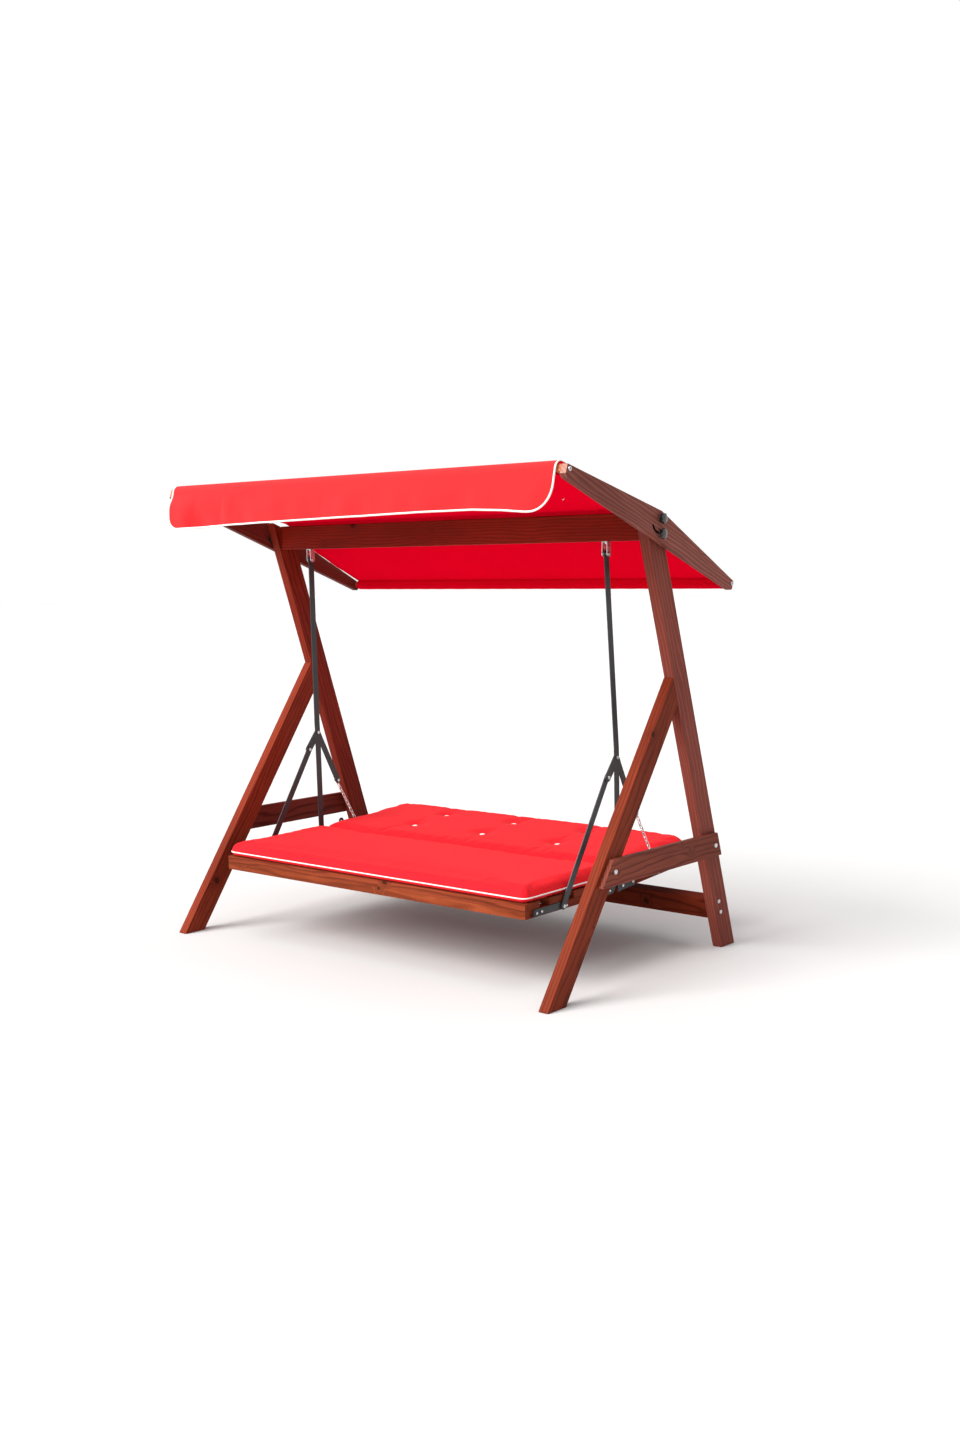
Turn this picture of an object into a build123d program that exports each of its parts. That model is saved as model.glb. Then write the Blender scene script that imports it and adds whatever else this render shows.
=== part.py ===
from build123d import *
import math
import os

# Garden swing seat with a tilting canopy and a fold-up back.
# Millimetres. X to the right, -Y to the front, Z up, origin on the floor at the
# centre of the footprint. Every piece is made at its place.

os.makedirs("parts", exist_ok=True)

# ---------------------------------------------------------------- dimensions
# timber frame
POST_OUT = 1050.0          # outer face of posts and legs
TIMBER = 45.0              # thickness of posts, legs, beam, stretcher
POST_IN = POST_OUT - TIMBER
LEG_SLOPE = 0.711          # y gained per mm of height, front leg
LEG_FRONT = -668.3         # y of the leg's front edge at the floor
LEG_REAR = -552.9
POST_SLOPE = -0.332
POST_FRONT = 562.7         # y of the post's front edge at the floor
POST_REAR = 668.3
BEAM_Y0, BEAM_Y1 = 0.0, 45.0
BEAM_Z0, BEAM_Z1 = 1715.0, 1822.0
BRACE_OUT = 1072.0         # outer face of the side brace board
WOOD_EDGE = 2.5            # rounding of timber edges

# canopy
PIVOT = (20.0, 1797.0)     # y, z of the canopy tilt axis
CLAMP_Z = 1739.0           # z of the clamp stud below it
TILT_RANGE = 60.0
RAIL_SLOPE = 20.2          # degrees, rail axis falls to the rear
RAIL_IN, RAIL_OUT = 1056.0, 1084.0
STUD_R = 5.0
SLOT_R = 5.5
CLOTH = 2.0
CLOTH_HALF = 1044.0
NOTCH_HALF = 1002.0

# knobs
KNOB_R = 20.0
KNOB_X0, KNOB_X1 = 1086.6, 1108.0

# hangers
HANG_X = 832.0             # bar centre at the bracket
PIN = (21.0, 1668.0)       # y, z of the swing axis
PIN_R = 4.0
JUNCTION = (55.0, 859.0)
BACK_P = (62.0, 356.0)     # y, z of the back hinge
BAR_W = 30.0
BAR_IN, BAR_OUT = 854.0, 859.0
STRUT_IN, STRUT_OUT = 850.0, 854.0
LAP = (-6.0, 784.0)
STRUT_END = (-302.0, 313.0)
CHAIN_H = (180.0, 616.0)   # upper chain bolt
CHAIN_A = (345.0, 343.0)   # lower chain bolt on the back
CHAIN_X = 867.0

# seat and back
SEAT_HALF = 845.0
RAIL_W = 45.0
SEAT_Z0, SEAT_Z1 = 298.0, 330.0
SLAT_T = 28.0
SEAT_FRONT = -534.0
CUSHION_T = 62.0
CUSHION_HALF = 843.0
BACK_INCLINE = 3.7         # degrees, rear end higher
BACK_LENGTH = 588.0
BEVEL = 33.5               # degrees, each side of the fold groove
LEAF_IN, LEAF_OUT = 845.0, 848.5
LEAF2_IN, LEAF2_OUT = 849.0, 852.5


# ---------------------------------------------------------------- helpers
def prism_x(pts, x0, x1):
    face = make_face(Polyline(*[(y, z) for y, z in pts], close=True))
    face = Plane(origin=(x0, 0, 0), x_dir=(0, 1, 0), z_dir=(1, 0, 0)) * face
    return extrude(face, amount=x1 - x0, dir=(1, 0, 0))


def prism_y(pts, y0, y1):
    face = make_face(Polyline(*[(x, -z) for x, z in pts], close=True))
    face = Plane(origin=(0, y0, 0), x_dir=(1, 0, 0), z_dir=(0, 1, 0)) * face
    return extrude(face, amount=y1 - y0, dir=(0, 1, 0))


def box(x0, x1, y0, y1, z0, z1):
    return Location(((x0 + x1) / 2, (y0 + y1) / 2, (z0 + z1) / 2)) * Box(x1 - x0, y1 - y0, z1 - z0)


def cyl_x(x0, x1, y, z, r):
    plane = Plane(origin=(x0, y, z), x_dir=(0, 1, 0), z_dir=(1, 0, 0))
    return plane.location * Cylinder(r, x1 - x0, align=(Align.CENTER, Align.CENTER, Align.MIN))


def cyl_z(x, y, z0, z1, r):
    return Location((x, y, z0)) * Cylinder(r, z1 - z0, align=(Align.CENTER, Align.CENTER, Align.MIN))


def cyl_dir(x, y, z, direction, length, r):
    plane = Plane(origin=(x, y, z), x_dir=(1, 0, 0), z_dir=(0, direction[0], direction[1]))
    return plane.location * Cylinder(r, length, align=(Align.CENTER, Align.CENTER, Align.MIN))


def hex_x(x0, x1, y, z, flats):
    pts = [(y + flats / math.sqrt(3) * math.cos(math.radians(60 * k)),
            z + flats / math.sqrt(3) * math.sin(math.radians(60 * k))) for k in range(6)]
    return prism_x(pts, x0, x1)


def capsule_x(a, b, r, x0, x1):
    dy, dz = b[0] - a[0], b[1] - a[1]
    length = math.hypot(dy, dz)
    ny, nz = -dz / length * r, dy / length * r
    pts = [(a[0] + ny, a[1] + nz), (b[0] + ny, b[1] + nz), (b[0] - ny, b[1] - nz), (a[0] - ny, a[1] - nz)]
    return prism_x(pts, x0, x1) + cyl_x(x0, x1, a[0], a[1], r) + cyl_x(x0, x1, b[0], b[1], r)


def soft(part, r=WOOD_EDGE):
    for radius in (r, r * 0.6):
        try:
            done = fillet(part.edges(), radius)
            if done.is_valid if isinstance(done.is_valid, bool) else done.is_valid():
                return done
        except Exception:
            pass
    return part


def left(part):
    return mirror(part, about=Plane.YZ)


def save(name, *shapes):
    solids = [s for shape in shapes for s in shape.solids()]
    body = Compound(solids) if len(solids) > 1 else solids[0]
    body.label = name
    export_step(body, "parts/" + name + ".step")


CA, SA = math.cos(math.radians(RAIL_SLOPE)), math.sin(math.radians(RAIL_SLOPE))


def rail_pt(s, t):
    return (PIVOT[0] + s * CA + t * SA, PIVOT[1] - s * SA + t * CA)


CB, SB = math.cos(math.radians(BACK_INCLINE)), math.sin(math.radians(BACK_INCLINE))


def back_pt(u, w):
    return (BACK_P[0] + u * CB - w * SB, BACK_P[1] + u * SB + w * CB)


PD = (POST_SLOPE / math.hypot(1, POST_SLOPE), 1 / math.hypot(1, POST_SLOPE))
PN = (PD[1], -PD[0])


def post_pt(p, q):
    return (POST_FRONT + p * PD[0] + q * PN[0], p * PD[1] + q * PN[1])


def post_front(z):
    return POST_FRONT + POST_SLOPE * z


def post_rear(z):
    return POST_REAR + POST_SLOPE * z


# ---------------------------------------------------------------- fixed frame
# rear post: leans forward, its top cut along the canopy rail
cut_t = 16.0


def post_at_t(y_floor):
    # point of the post edge that starts at y_floor and lies at rail height cut_t
    y0 = PIVOT[0] + cut_t * SA
    z0 = PIVOT[1] + cut_t * CA
    s = (y_floor + POST_SLOPE * z0 - y0) / (CA + POST_SLOPE * SA)
    return rail_pt(s, cut_t)


post = prism_x([(POST_FRONT, 0), (POST_REAR, 0), post_at_t(POST_REAR), post_at_t(POST_FRONT)], POST_IN, POST_OUT)
post = soft(post)

joint_z1 = (POST_FRONT - LEG_FRONT) / (LEG_SLOPE - POST_SLOPE)
joint_z0 = (POST_FRONT - LEG_REAR) / (LEG_SLOPE - POST_SLOPE)
leg = prism_x([(LEG_FRONT, 0), (LEG_REAR, 0), (post_front(joint_z0), joint_z0), (post_front(joint_z1), joint_z1)],
              POST_IN, POST_OUT)
leg = soft(leg)

brace = prism_x([(-349, 413), (-275, 516), (485, 512), (519, 413)], POST_OUT, BRACE_OUT)
brace = soft(brace)

beam = soft(box(-POST_IN, POST_IN, BEAM_Y0, BEAM_Y1, BEAM_Z0, BEAM_Z1), 3.0)
stretcher = soft(prism_x([post_pt(135, 3.5), post_pt(231, 3.5), post_pt(231, 48.5), post_pt(135, 48.5)],
                         -POST_IN, POST_IN))

# screws of the side brace: domed head outside, the shank ends inside leg and post
brace_marks = [(-264.0, 468.0), (467.0, 460.0)]
brace_bolts = []
for y, z in brace_marks:
    head = cyl_x(BRACE_OUT, BRACE_OUT + 5, y, z, 10)
    head = fillet(head.edges().filter_by(GeomType.CIRCLE).sort_by(Axis.X)[-1], 3.5)
    brace_bolts.append(head + cyl_x(POST_IN + 8, BRACE_OUT, y, z, 4))
    brace -= cyl_x(POST_OUT - 1, BRACE_OUT + 1, y, z, 4.02)
leg -= cyl_x(POST_IN + 8, POST_OUT + 1, brace_marks[0][0], brace_marks[0][1], 4.02)
post -= cyl_x(POST_IN + 8, POST_OUT + 1, brace_marks[1][0], brace_marks[1][1], 4.02)

# bolts of the rear stretcher, through the post into the board's end
stretcher_bolts = []
for p in (155.0, 206.0):
    y, z = post_pt(p, 36.0)
    head = cyl_x(POST_OUT, POST_OUT + 5, y, z, 9)
    head = fillet(head.edges().filter_by(GeomType.CIRCLE).sort_by(Axis.X)[-1], 3)
    stretcher_bolts.append(head + cyl_x(POST_IN - 60, POST_OUT, y, z, 4))
    post -= cyl_x(POST_IN - 1, POST_OUT + 1, y, z, 4)
    hole = cyl_x(POST_IN - 60, POST_IN + 1, y, z, 4)
    stretcher -= hole
    stretcher -= left(hole)

# bolts of the leg joint, from the rear face of the post into the leg's end
leg_bolts = []
xm = (POST_IN + POST_OUT) / 2
post_w = (POST_REAR - POST_FRONT) * PN[0]
for f, reach in ((0.28, 55), (0.62, 26)):
    z = joint_z0 + f * (joint_z1 - joint_z0)
    y = post_front(z)
    shank = cyl_dir(xm, y - reach * PN[0], z - reach * PN[1], PN, reach + post_w, 4)
    head = cyl_dir(xm, y + post_w * PN[0], z + post_w * PN[1], PN, 4.5, 9)
    leg_bolts.append(shank + head)
    leg -= shank
    post -= shank

# studs at the post top: upper one is the canopy pivot, lower one the clamp
studs = []
for y, z in (PIVOT, (PIVOT[0], CLAMP_Z)):
    stud = cyl_x(POST_IN - 50, 1098, y, z, STUD_R)
    studs.append(stud)
    post -= cyl_x(POST_IN - 1, POST_OUT + 1, y, z, STUD_R)
    hole = cyl_x(POST_IN - 50, POST_IN + 1, y, z, STUD_R)
    beam -= hole
    beam -= left(hole)

washers = []
for y, z in (PIVOT, (PIVOT[0], CLAMP_Z)):
    washers.append(cyl_x(POST_OUT, RAIL_IN - 0.3, y, z, 14) - cyl_x(POST_OUT - 1, RAIL_IN + 1, y, z, STUD_R))
    washers.append(cyl_x(RAIL_OUT + 0.3, RAIL_OUT + 2.3, y, z, 13)
                   - cyl_x(RAIL_OUT - 1, RAIL_OUT + 4, y, z, STUD_R))

# hanger brackets: narrow fork held under the beam by one lag bolt between its cheeks
CHEEK_GAP = 20.0
cheek_t = 3.0
b0, b1 = HANG_X - CHEEK_GAP / 2, HANG_X + CHEEK_GAP / 2
bracket = box(b0 - cheek_t, b1 + cheek_t, PIN[0] - 13, PIN[0] + 13, BEAM_Z0 - 3, BEAM_Z0)
for x0, x1 in ((b0 - cheek_t, b0), (b1, b1 + cheek_t)):
    cheek = box(x0, x1, PIN[0] - 13, PIN[0] + 13, PIN[1], BEAM_Z0 - 3) + cyl_x(x0, x1, PIN[0], PIN[1], 13)
    cheek -= cyl_x(x0 - 1, x1 + 1, PIN[0], PIN[1] + 24, 3.2)
    bracket += cheek
bracket -= cyl_x(b0 - 10, b1 + 10, PIN[0], PIN[1], PIN_R)
screws = [cyl_z(HANG_X, PIN[0], BEAM_Z0 - 3, BEAM_Z0 + 70, 4)
          + cyl_z(HANG_X, PIN[0], BEAM_Z0 - 9, BEAM_Z0 - 3, 7.5)]
bracket -= cyl_z(HANG_X, PIN[0], BEAM_Z0 - 4, BEAM_Z0 + 1, 4)
hole = cyl_z(HANG_X, PIN[0], BEAM_Z0 - 1, BEAM_Z0 + 70, 4)
beam -= hole
beam -= left(hole)
pin = (cyl_x(b0 - cheek_t - 6, b1 + cheek_t, PIN[0], PIN[1], PIN_R)
       + hex_x(b1 + cheek_t, b1 + cheek_t + 5.5, PIN[0], PIN[1], 13))
pin_nut = (hex_x(b0 - cheek_t - 6.5, b0 - cheek_t, PIN[0], PIN[1], 13)
           - cyl_x(b0 - cheek_t - 8, b0, PIN[0], PIN[1], PIN_R))

save("rear_post_right", post)
save("rear_post_left", left(post))
save("front_leg_right", leg)
save("front_leg_left", left(leg))
save("side_brace_right", brace)
save("side_brace_left", left(brace))
save("top_beam", beam)
save("rear_stretcher", stretcher)
save("brace_bolts", *brace_bolts, *[left(b) for b in brace_bolts])
save("stretcher_bolts", *stretcher_bolts, *[left(b) for b in stretcher_bolts])
save("leg_joint_bolts", *leg_bolts, *[left(b) for b in leg_bolts])
save("clamp_studs", *studs, *[left(s) for s in studs])
save("stud_washers", *washers, *[left(w) for w in washers])
save("hanger_brackets", bracket, left(bracket))
save("bracket_screws", *screws, *[left(s) for s in screws])
save("bracket_pins", pin, pin_nut, left(pin), left(pin_nut))

# ---------------------------------------------------------------- canopy
rail = prism_x([rail_pt(s, t) for s, t in
                ((-618, -34), (1, 30.4), (602, -41), (602, -73), (599, -79), (593, -82),
                 (-605, -82), (-618, -70))], RAIL_IN, RAIL_OUT)
rail = soft(rail, 2.0)
y, z = rail_pt(605, -60)
rail -= cyl_x(RAIL_IN - 1, RAIL_OUT + 1, y, z, 7)
rail -= cyl_x(RAIL_IN - 1, RAIL_OUT + 1, PIVOT[0], PIVOT[1], STUD_R + 0.08)
# arc slot: the clamp stud sits at its rear end when the canopy is as drawn
slot_radius = PIVOT[1] - CLAMP_Z
arc0, arc1 = 270.0, 270.0 - TILT_RANGE - 2.0
steps = 24
outer = [(PIVOT[0] + (slot_radius + SLOT_R) * math.cos(math.radians(arc0 + (arc1 - arc0) * k / steps)),
          PIVOT[1] + (slot_radius + SLOT_R) * math.sin(math.radians(arc0 + (arc1 - arc0) * k / steps)))
         for k in range(steps + 1)]
inner = [(PIVOT[0] + (slot_radius - SLOT_R) * math.cos(math.radians(arc0 + (arc1 - arc0) * k / steps)),
          PIVOT[1] + (slot_radius - SLOT_R) * math.sin(math.radians(arc0 + (arc1 - arc0) * k / steps)))
         for k in range(steps + 1)]
slot = prism_x(outer + inner[::-1], RAIL_IN - 1, RAIL_OUT + 1)
for a in (arc0, arc1):
    slot += cyl_x(RAIL_IN - 1, RAIL_OUT + 1, PIVOT[0] + slot_radius * math.cos(math.radians(a)),
                  PIVOT[1] + slot_radius * math.sin(math.radians(a)), SLOT_R)
rail -= slot

FRONT_BAR = (-604.0, -48.0)
REAR_BAR = (589.0, -56.0)


def bar_square(centre, half):
    return [rail_pt(centre[0] + a * half, centre[1] + b * half) for a, b in ((-1, -1), (1, -1), (1, 1), (-1, 1))]


front_bar = prism_x(bar_square(FRONT_BAR, 14), -RAIL_IN, RAIL_IN)
front_bar = fillet(front_bar.edges().filter_by(Axis.X), 2)
rear_bar = prism_x(bar_square(REAR_BAR, 14), -RAIL_IN, RAIL_IN)
rear_bar = fillet(rear_bar.edges().filter_by(Axis.X), 2)
bar_bolts = []
bars = []
for bar, centre in ((front_bar, FRONT_BAR), (rear_bar, REAR_BAR)):
    y, z = rail_pt(*centre)
    head = cyl_x(RAIL_OUT, RAIL_OUT + 5, y, z, 9)
    head = fillet(head.edges().filter_by(GeomType.CIRCLE).sort_by(Axis.X)[-1], 2)
    head -= hex_x(RAIL_OUT + 2, RAIL_OUT + 6, y, z, 7)
    bar_bolts.append(head + cyl_x(RAIL_IN - 40, RAIL_OUT, y, z, 4))
    rail -= cyl_x(RAIL_IN - 1, RAIL_OUT + 1, y, z, 4.02)
    hole = cyl_x(RAIL_IN - 40, RAIL_IN + 1, y, z, 4)
    bars.append(bar - hole - left(hole))

# cloth: one sheet over the beam, with a sleeve round each crossbar
APEX = 38.0
sheet_pts = [rail_pt(-604, -34 + 2.5), rail_pt(-18, APEX - 2), rail_pt(0, APEX), rail_pt(18, APEX - 2.4),
             rail_pt(589, -42 + 2.5)]
sheet_top = [rail_pt(-604, -34 + 2.5 + CLOTH), rail_pt(-18, APEX - 2 + CLOTH), rail_pt(0, APEX + CLOTH),
             rail_pt(18, APEX - 2.4 + CLOTH), rail_pt(589, -42 + 2.5 + CLOTH)]
cloth = prism_x(sheet_pts + sheet_top[::-1], -CLOTH_HALF, CLOTH_HALF)
for centre in (FRONT_BAR, REAR_BAR):
    tube = prism_x(bar_square(centre, 18.5), -CLOTH_HALF, CLOTH_HALF)
    tube = fillet(tube.edges().filter_by(Axis.X), 7)
    cloth += tube
for centre in (FRONT_BAR, REAR_BAR):
    cloth -= prism_x(bar_square(centre, 14), -RAIL_IN, RAIL_IN)
notch = prism_x([rail_pt(-85, -20), rail_pt(-85, 90), rail_pt(100, 90), rail_pt(100, -20)],
                NOTCH_HALF, CLOTH_HALF + 5)
cloth = cloth - notch - left(notch)

# valance: hangs from the front sleeve, rounded lower corners
FC = rail_pt(*FRONT_BAR)
VAL_R = 30.0
VAL_LOW = 1826.0
arc = [(FC[0] + VAL_R * math.cos(math.radians(a)), FC[1] + VAL_R * math.sin(math.radians(a)))
       for a in range(90, 181, 10)]
arc_out = [(FC[0] + (VAL_R + CLOTH) * math.cos(math.radians(a)), FC[1] + (VAL_R + CLOTH) * math.sin(math.radians(a)))
           for a in range(90, 181, 10)]
valance = prism_x(arc + [(arc[-1][0], VAL_LOW), (arc_out[-1][0], VAL_LOW)] + arc_out[::-1],
                  -CLOTH_HALF - 8, CLOTH_HALF + 8)
outline = [(-1052, 2010), (-1052, 1905), (-1048, 1870), (-1036, 1846), (-1012, 1830), (-985, 1826),
           (985, 1826), (1012, 1830), (1036, 1846), (1048, 1870), (1052, 1905), (1052, 2010)]
valance = valance & prism_y(outline, -640, -500)

save("canopy_rail_right", rail)
save("canopy_rail_left", left(rail))
save("front_crossbar", bars[0])
save("rear_crossbar", bars[1])
save("crossbar_bolts", *bar_bolts, *[left(b) for b in bar_bolts])
save("canopy_fabric", cloth)
save("valance", valance)


# star knobs on the studs
def knob(y, z, turn):
    lobes = 7
    pts = []
    n = 140
    for k in range(n):
        a = 2 * math.pi * k / n
        r = KNOB_R - 3.2 * (0.5 - 0.5 * math.cos(lobes * a)) ** 1.5
        pts.append((y + r * math.cos(a + turn), z + r * math.sin(a + turn)))
    face = make_face(Spline(*pts, periodic=True))
    face = Plane(origin=(KNOB_X0 + 6, 0, 0), x_dir=(0, 1, 0), z_dir=(1, 0, 0)) * face
    star = extrude(face, amount=KNOB_X1 - KNOB_X0 - 6, dir=(1, 0, 0))
    # domed face
    dome_r = 46.0
    dome = Location((KNOB_X1 - dome_r, y, z)) * Sphere(dome_r)
    star = star & dome
    hub = cyl_x(KNOB_X0, KNOB_X0 + 7, y, z, 11)
    body = star + hub
    return body - cyl_x(KNOB_X0 - 1, 1099, y, z, STUD_R + 0.06)


k1 = knob(PIVOT[0], PIVOT[1], 0.2)
k2 = knob(PIVOT[0], CLAMP_Z, 0.5)
save("tilt_knob_right", k1)
save("tilt_knob_left", left(k1))
save("clamp_knob_right", k2)
save("clamp_knob_left", left(k2))

# ---------------------------------------------------------------- swinging hangers
# flat bar: upright eye at the bracket, then straight outward to the seat side
flat_xz = [(HANG_X - 2.5, PIN[1] + 25), (HANG_X + 2.5, PIN[1] + 25), (HANG_X + 2.5, PIN[1] - 30),
           (BAR_OUT, 900), (BAR_OUT, 320), (BAR_IN, 320), (BAR_IN, 900), (HANG_X - 2.5, PIN[1] - 30)]
flat = prism_y(flat_xz, -60, 160)
side = (capsule_x(PIN, JUNCTION, BAR_W / 2, 800, 900) + capsule_x(JUNCTION, BACK_P, BAR_W / 2, 800, 900))
hanger = flat & side
hanger -= cyl_x(800, 900, PIN[0], PIN[1], PIN_R + 0.08)
hanger -= cyl_x(800, 900, BACK_P[0], BACK_P[1], 5)
hanger -= cyl_x(800, 900, JUNCTION[0], JUNCTION[1], 4)
hanger -= cyl_x(800, 900, 60.1, 494, 4.2)

bush = []
for x0, x1 in ((b0 + 0.3, HANG_X - 2.5), (HANG_X + 2.5, b1 - 0.3)):
    bush.append(cyl_x(x0, x1, PIN[0], PIN[1], 8) - cyl_x(x0 - 1, x1 + 1, PIN[0], PIN[1], PIN_R + 0.08))

front_arm = capsule_x(JUNCTION, LAP, 18, BAR_IN, BAR_OUT)
front_arm -= prism_x([(JUNCTION[0] - 15.0, 950), (JUNCTION[0] - 15.0 + 2.9, 650), (400, 650), (400, 950)], 840, 870)
front_arm -= side
rear_arm = capsule_x(JUNCTION, CHAIN_H, 14.5, BAR_IN, BAR_OUT)
rear_arm -= prism_x([(JUNCTION[0] + 14.0, 950), (JUNCTION[0] + 15.0 + 3.4, 600), (-200, 600), (-200, 950)], 840, 870)
rear_arm -= side
front_arm -= cyl_x(840, 870, LAP[0], LAP[1], 4)
rear_arm -= cyl_x(840, 870, CHAIN_H[0], CHAIN_H[1], 3.2)

strut = capsule_x(LAP, STRUT_END, 15, STRUT_IN, STRUT_OUT)
strut -= cyl_x(840, 870, LAP[0], LAP[1], 4)
strut -= cyl_x(840, 870, STRUT_END[0], STRUT_END[1], 4)

strap = box(LEAF_IN, LEAF_OUT, -489, -271, 302, 330)
strap = fillet(strap.edges().filter_by(Axis.X), 4)
curl = cyl_z(LEAF_OUT + 1.5, -484, 302, 330, 5)
curl -= box(820, LEAF_IN, -500, -470, 290, 340)
strap += curl
seat_plate_marks = [(-468.0, 314.0), (-436.0, 316.0), (-277.0, 311.0)]

leaf = prism_x([(-34, 303), (44, 303), (76.5, 352), (62, 356), (47.5, 359.5), (34, 330), (-34, 330)],
               LEAF_IN, LEAF_OUT) + cyl_x(LEAF_IN, LEAF_OUT, BACK_P[0], BACK_P[1], 15)
leaf -= cyl_x(840, 850, BACK_P[0], BACK_P[1], 5)
leaf_marks = [(-18.0, 317.0), (18.0, 317.0)]

side_rail = prism_x([(-506, SEAT_Z0), (38, SEAT_Z0), (50, SEAT_Z1), (-506, SEAT_Z1)],
                    SEAT_HALF - RAIL_W, SEAT_HALF)
side_rail = soft(side_rail, 2)

seat_bolts = []
for y, z in seat_plate_marks + leaf_marks:
    head = cyl_x(LEAF_OUT, LEAF_OUT + 4, y, z, 5.5)
    head = fillet(head.edges().filter_by(GeomType.CIRCLE).sort_by(Axis.X)[-1], 2)
    seat_bolts.append(head + cyl_x(LEAF_IN - 16, LEAF_OUT, y, z, 3))
    side_rail -= cyl_x(LEAF_IN - 16, LEAF_IN + 1, y, z, 3)
    strap -= cyl_x(840, 850, y, z, 3)
    leaf -= cyl_x(840, 850, y, z, 3)

# strut end bolt, lap bolt, junction bolt, chain bolt on the rear arm
strut_bolt = (cyl_x(LEAF_IN - 16, STRUT_OUT, STRUT_END[0], STRUT_END[1], 4)
              + hex_x(STRUT_OUT, STRUT_OUT + 5.5, STRUT_END[0], STRUT_END[1], 13))
strut_washer = (cyl_x(LEAF_OUT, STRUT_IN, STRUT_END[0], STRUT_END[1], 9)
                - cyl_x(LEAF_OUT - 1, STRUT_IN + 1, STRUT_END[0], STRUT_END[1], 4))
side_rail -= cyl_x(LEAF_IN - 16, LEAF_IN + 1, STRUT_END[0], STRUT_END[1], 4)
strap -= cyl_x(840, 850, STRUT_END[0], STRUT_END[1], 4)
lap_bolt = (cyl_x(STRUT_IN, BAR_OUT, LAP[0], LAP[1], 4) + hex_x(BAR_OUT, BAR_OUT + 5.5, LAP[0], LAP[1], 13)
            + hex_x(STRUT_IN - 5, STRUT_IN, LAP[0], LAP[1], 13))
junction_bolt = (cyl_x(BAR_IN, BAR_OUT, JUNCTION[0], JUNCTION[1], 4)
                 + hex_x(BAR_OUT, BAR_OUT + 5.5, JUNCTION[0], JUNCTION[1], 13)
                 + hex_x(BAR_IN - 5, BAR_IN, JUNCTION[0], JUNCTION[1], 13))
chain_top_bolt = (cyl_x(BAR_IN, CHAIN_X + 4, CHAIN_H[0], CHAIN_H[1], 3.2)
                  + cyl_x(CHAIN_X + 3, CHAIN_X + 8, CHAIN_H[0], CHAIN_H[1], 6.5)
                  + cyl_x(BAR_IN - 4, BAR_IN, CHAIN_H[0], CHAIN_H[1], 6.5))
hanger_bolts = [strut_bolt, strut_washer, lap_bolt, junction_bolt, chain_top_bolt]

# hinge pivot bolt: seat leaf, back leaf, washer, bar
pivot_bolt = (cyl_x(LEAF_IN, BAR_OUT, BACK_P[0], BACK_P[1], 5)
              + hex_x(BAR_OUT, BAR_OUT + 6, BACK_P[0], BACK_P[1], 16))
pivot_washer = (cyl_x(LEAF2_OUT + 0.3, BAR_IN, BACK_P[0], BACK_P[1], 11)
                - cyl_x(LEAF2_OUT - 1, BAR_IN + 1, BACK_P[0], BACK_P[1], 5))

# seat frame and slats
front_rail = soft(box(-SEAT_HALF, SEAT_HALF, SEAT_FRONT, SEAT_FRONT + 28, SEAT_Z0, SEAT_Z1), 2)
centre_rail = box(-22.5, 22.5, SEAT_FRONT + 28, 40, SEAT_Z0, SEAT_Z1)
slat_starts = [-534.0, -378.0, -222.0, -66.0]
slats = []
slat_screws = []
cuts = []
for y0 in slat_starts:
    slats.append(soft(box(-SEAT_HALF, SEAT_HALF, y0, y0 + 92, SEAT_Z1, SEAT_Z1 + SLAT_T), 2))
    for x in (-822.0, 0.0, 822.0):
        for dy in (34.0, 70.0):
            shank = cyl_z(x, y0 + dy, SEAT_Z0 + 6, SEAT_Z1 + SLAT_T - 2, 2.2)
            head = cyl_z(x, y0 + dy, SEAT_Z1 + SLAT_T - 3, SEAT_Z1 + SLAT_T, 4.5)
            slat_screws.append(shank + head)
for i, slat in enumerate(slats):
    for s in slat_screws[6 * i:6 * i + 6]:
        slat = slat - s
    slats[i] = slat
for i, s in enumerate(slat_screws):
    x = (-822.0, 0.0, 822.0)[(i % 6) // 2]
    if x == 0:
        centre_rail -= s
    elif x > 0:
        side_rail -= s

# seat cushion: plain block, rounded, its rear end bevelled for the fold
CZ0 = SEAT_Z1 + SLAT_T
CZ1 = CZ0 + CUSHION_T
tb = math.tan(math.radians(BEVEL))
seat_pts = [(-531, CZ0), (BACK_P[0] - (CZ0 - BACK_P[1]) * tb, CZ0), (BACK_P[0] - (CZ1 - BACK_P[1]) * tb, CZ1),
            (-531, CZ1)]
seat_cushion = prism_x(seat_pts, -CUSHION_HALF, CUSHION_HALF)
seat_cushion = fillet([e for e in seat_cushion.edges() if e.center().Y < -525], 16)

save("hanger_bar_right", hanger)
save("hanger_bar_left", left(hanger))
save("hanger_arms_right", front_arm, rear_arm)
save("hanger_arms_left", left(front_arm), left(rear_arm))
save("front_strut_right", strut)
save("front_strut_left", left(strut))
save("strap_plates", strap, left(strap))
save("hanger_bolts", *hanger_bolts, *[left(b) for b in hanger_bolts])
save("seat_plate_bolts", *seat_bolts, *[left(b) for b in seat_bolts])
save("pivot_bolts", pivot_bolt, pivot_washer, left(pivot_bolt), left(pivot_washer))
save("bar_bushings", *bush, *[left(b) for b in bush])
save("seat_side_rail_right", side_rail)
save("seat_side_rail_left", left(side_rail))
save("seat_front_rail", front_rail)
save("seat_centre_rail", centre_rail)
save("seat_slats", *slats)
save("seat_slat_screws", *slat_screws)
save("seat_hinge_leaves", leaf, left(leaf))
save("seat_cushion", seat_cushion)

# ---------------------------------------------------------------- folding back
W0, W1, W2 = -54.0, -26.0, 2.0


def back_prism(pts, x0, x1):
    return prism_x([back_pt(u, w) for u, w in pts], x0, x1)


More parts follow.
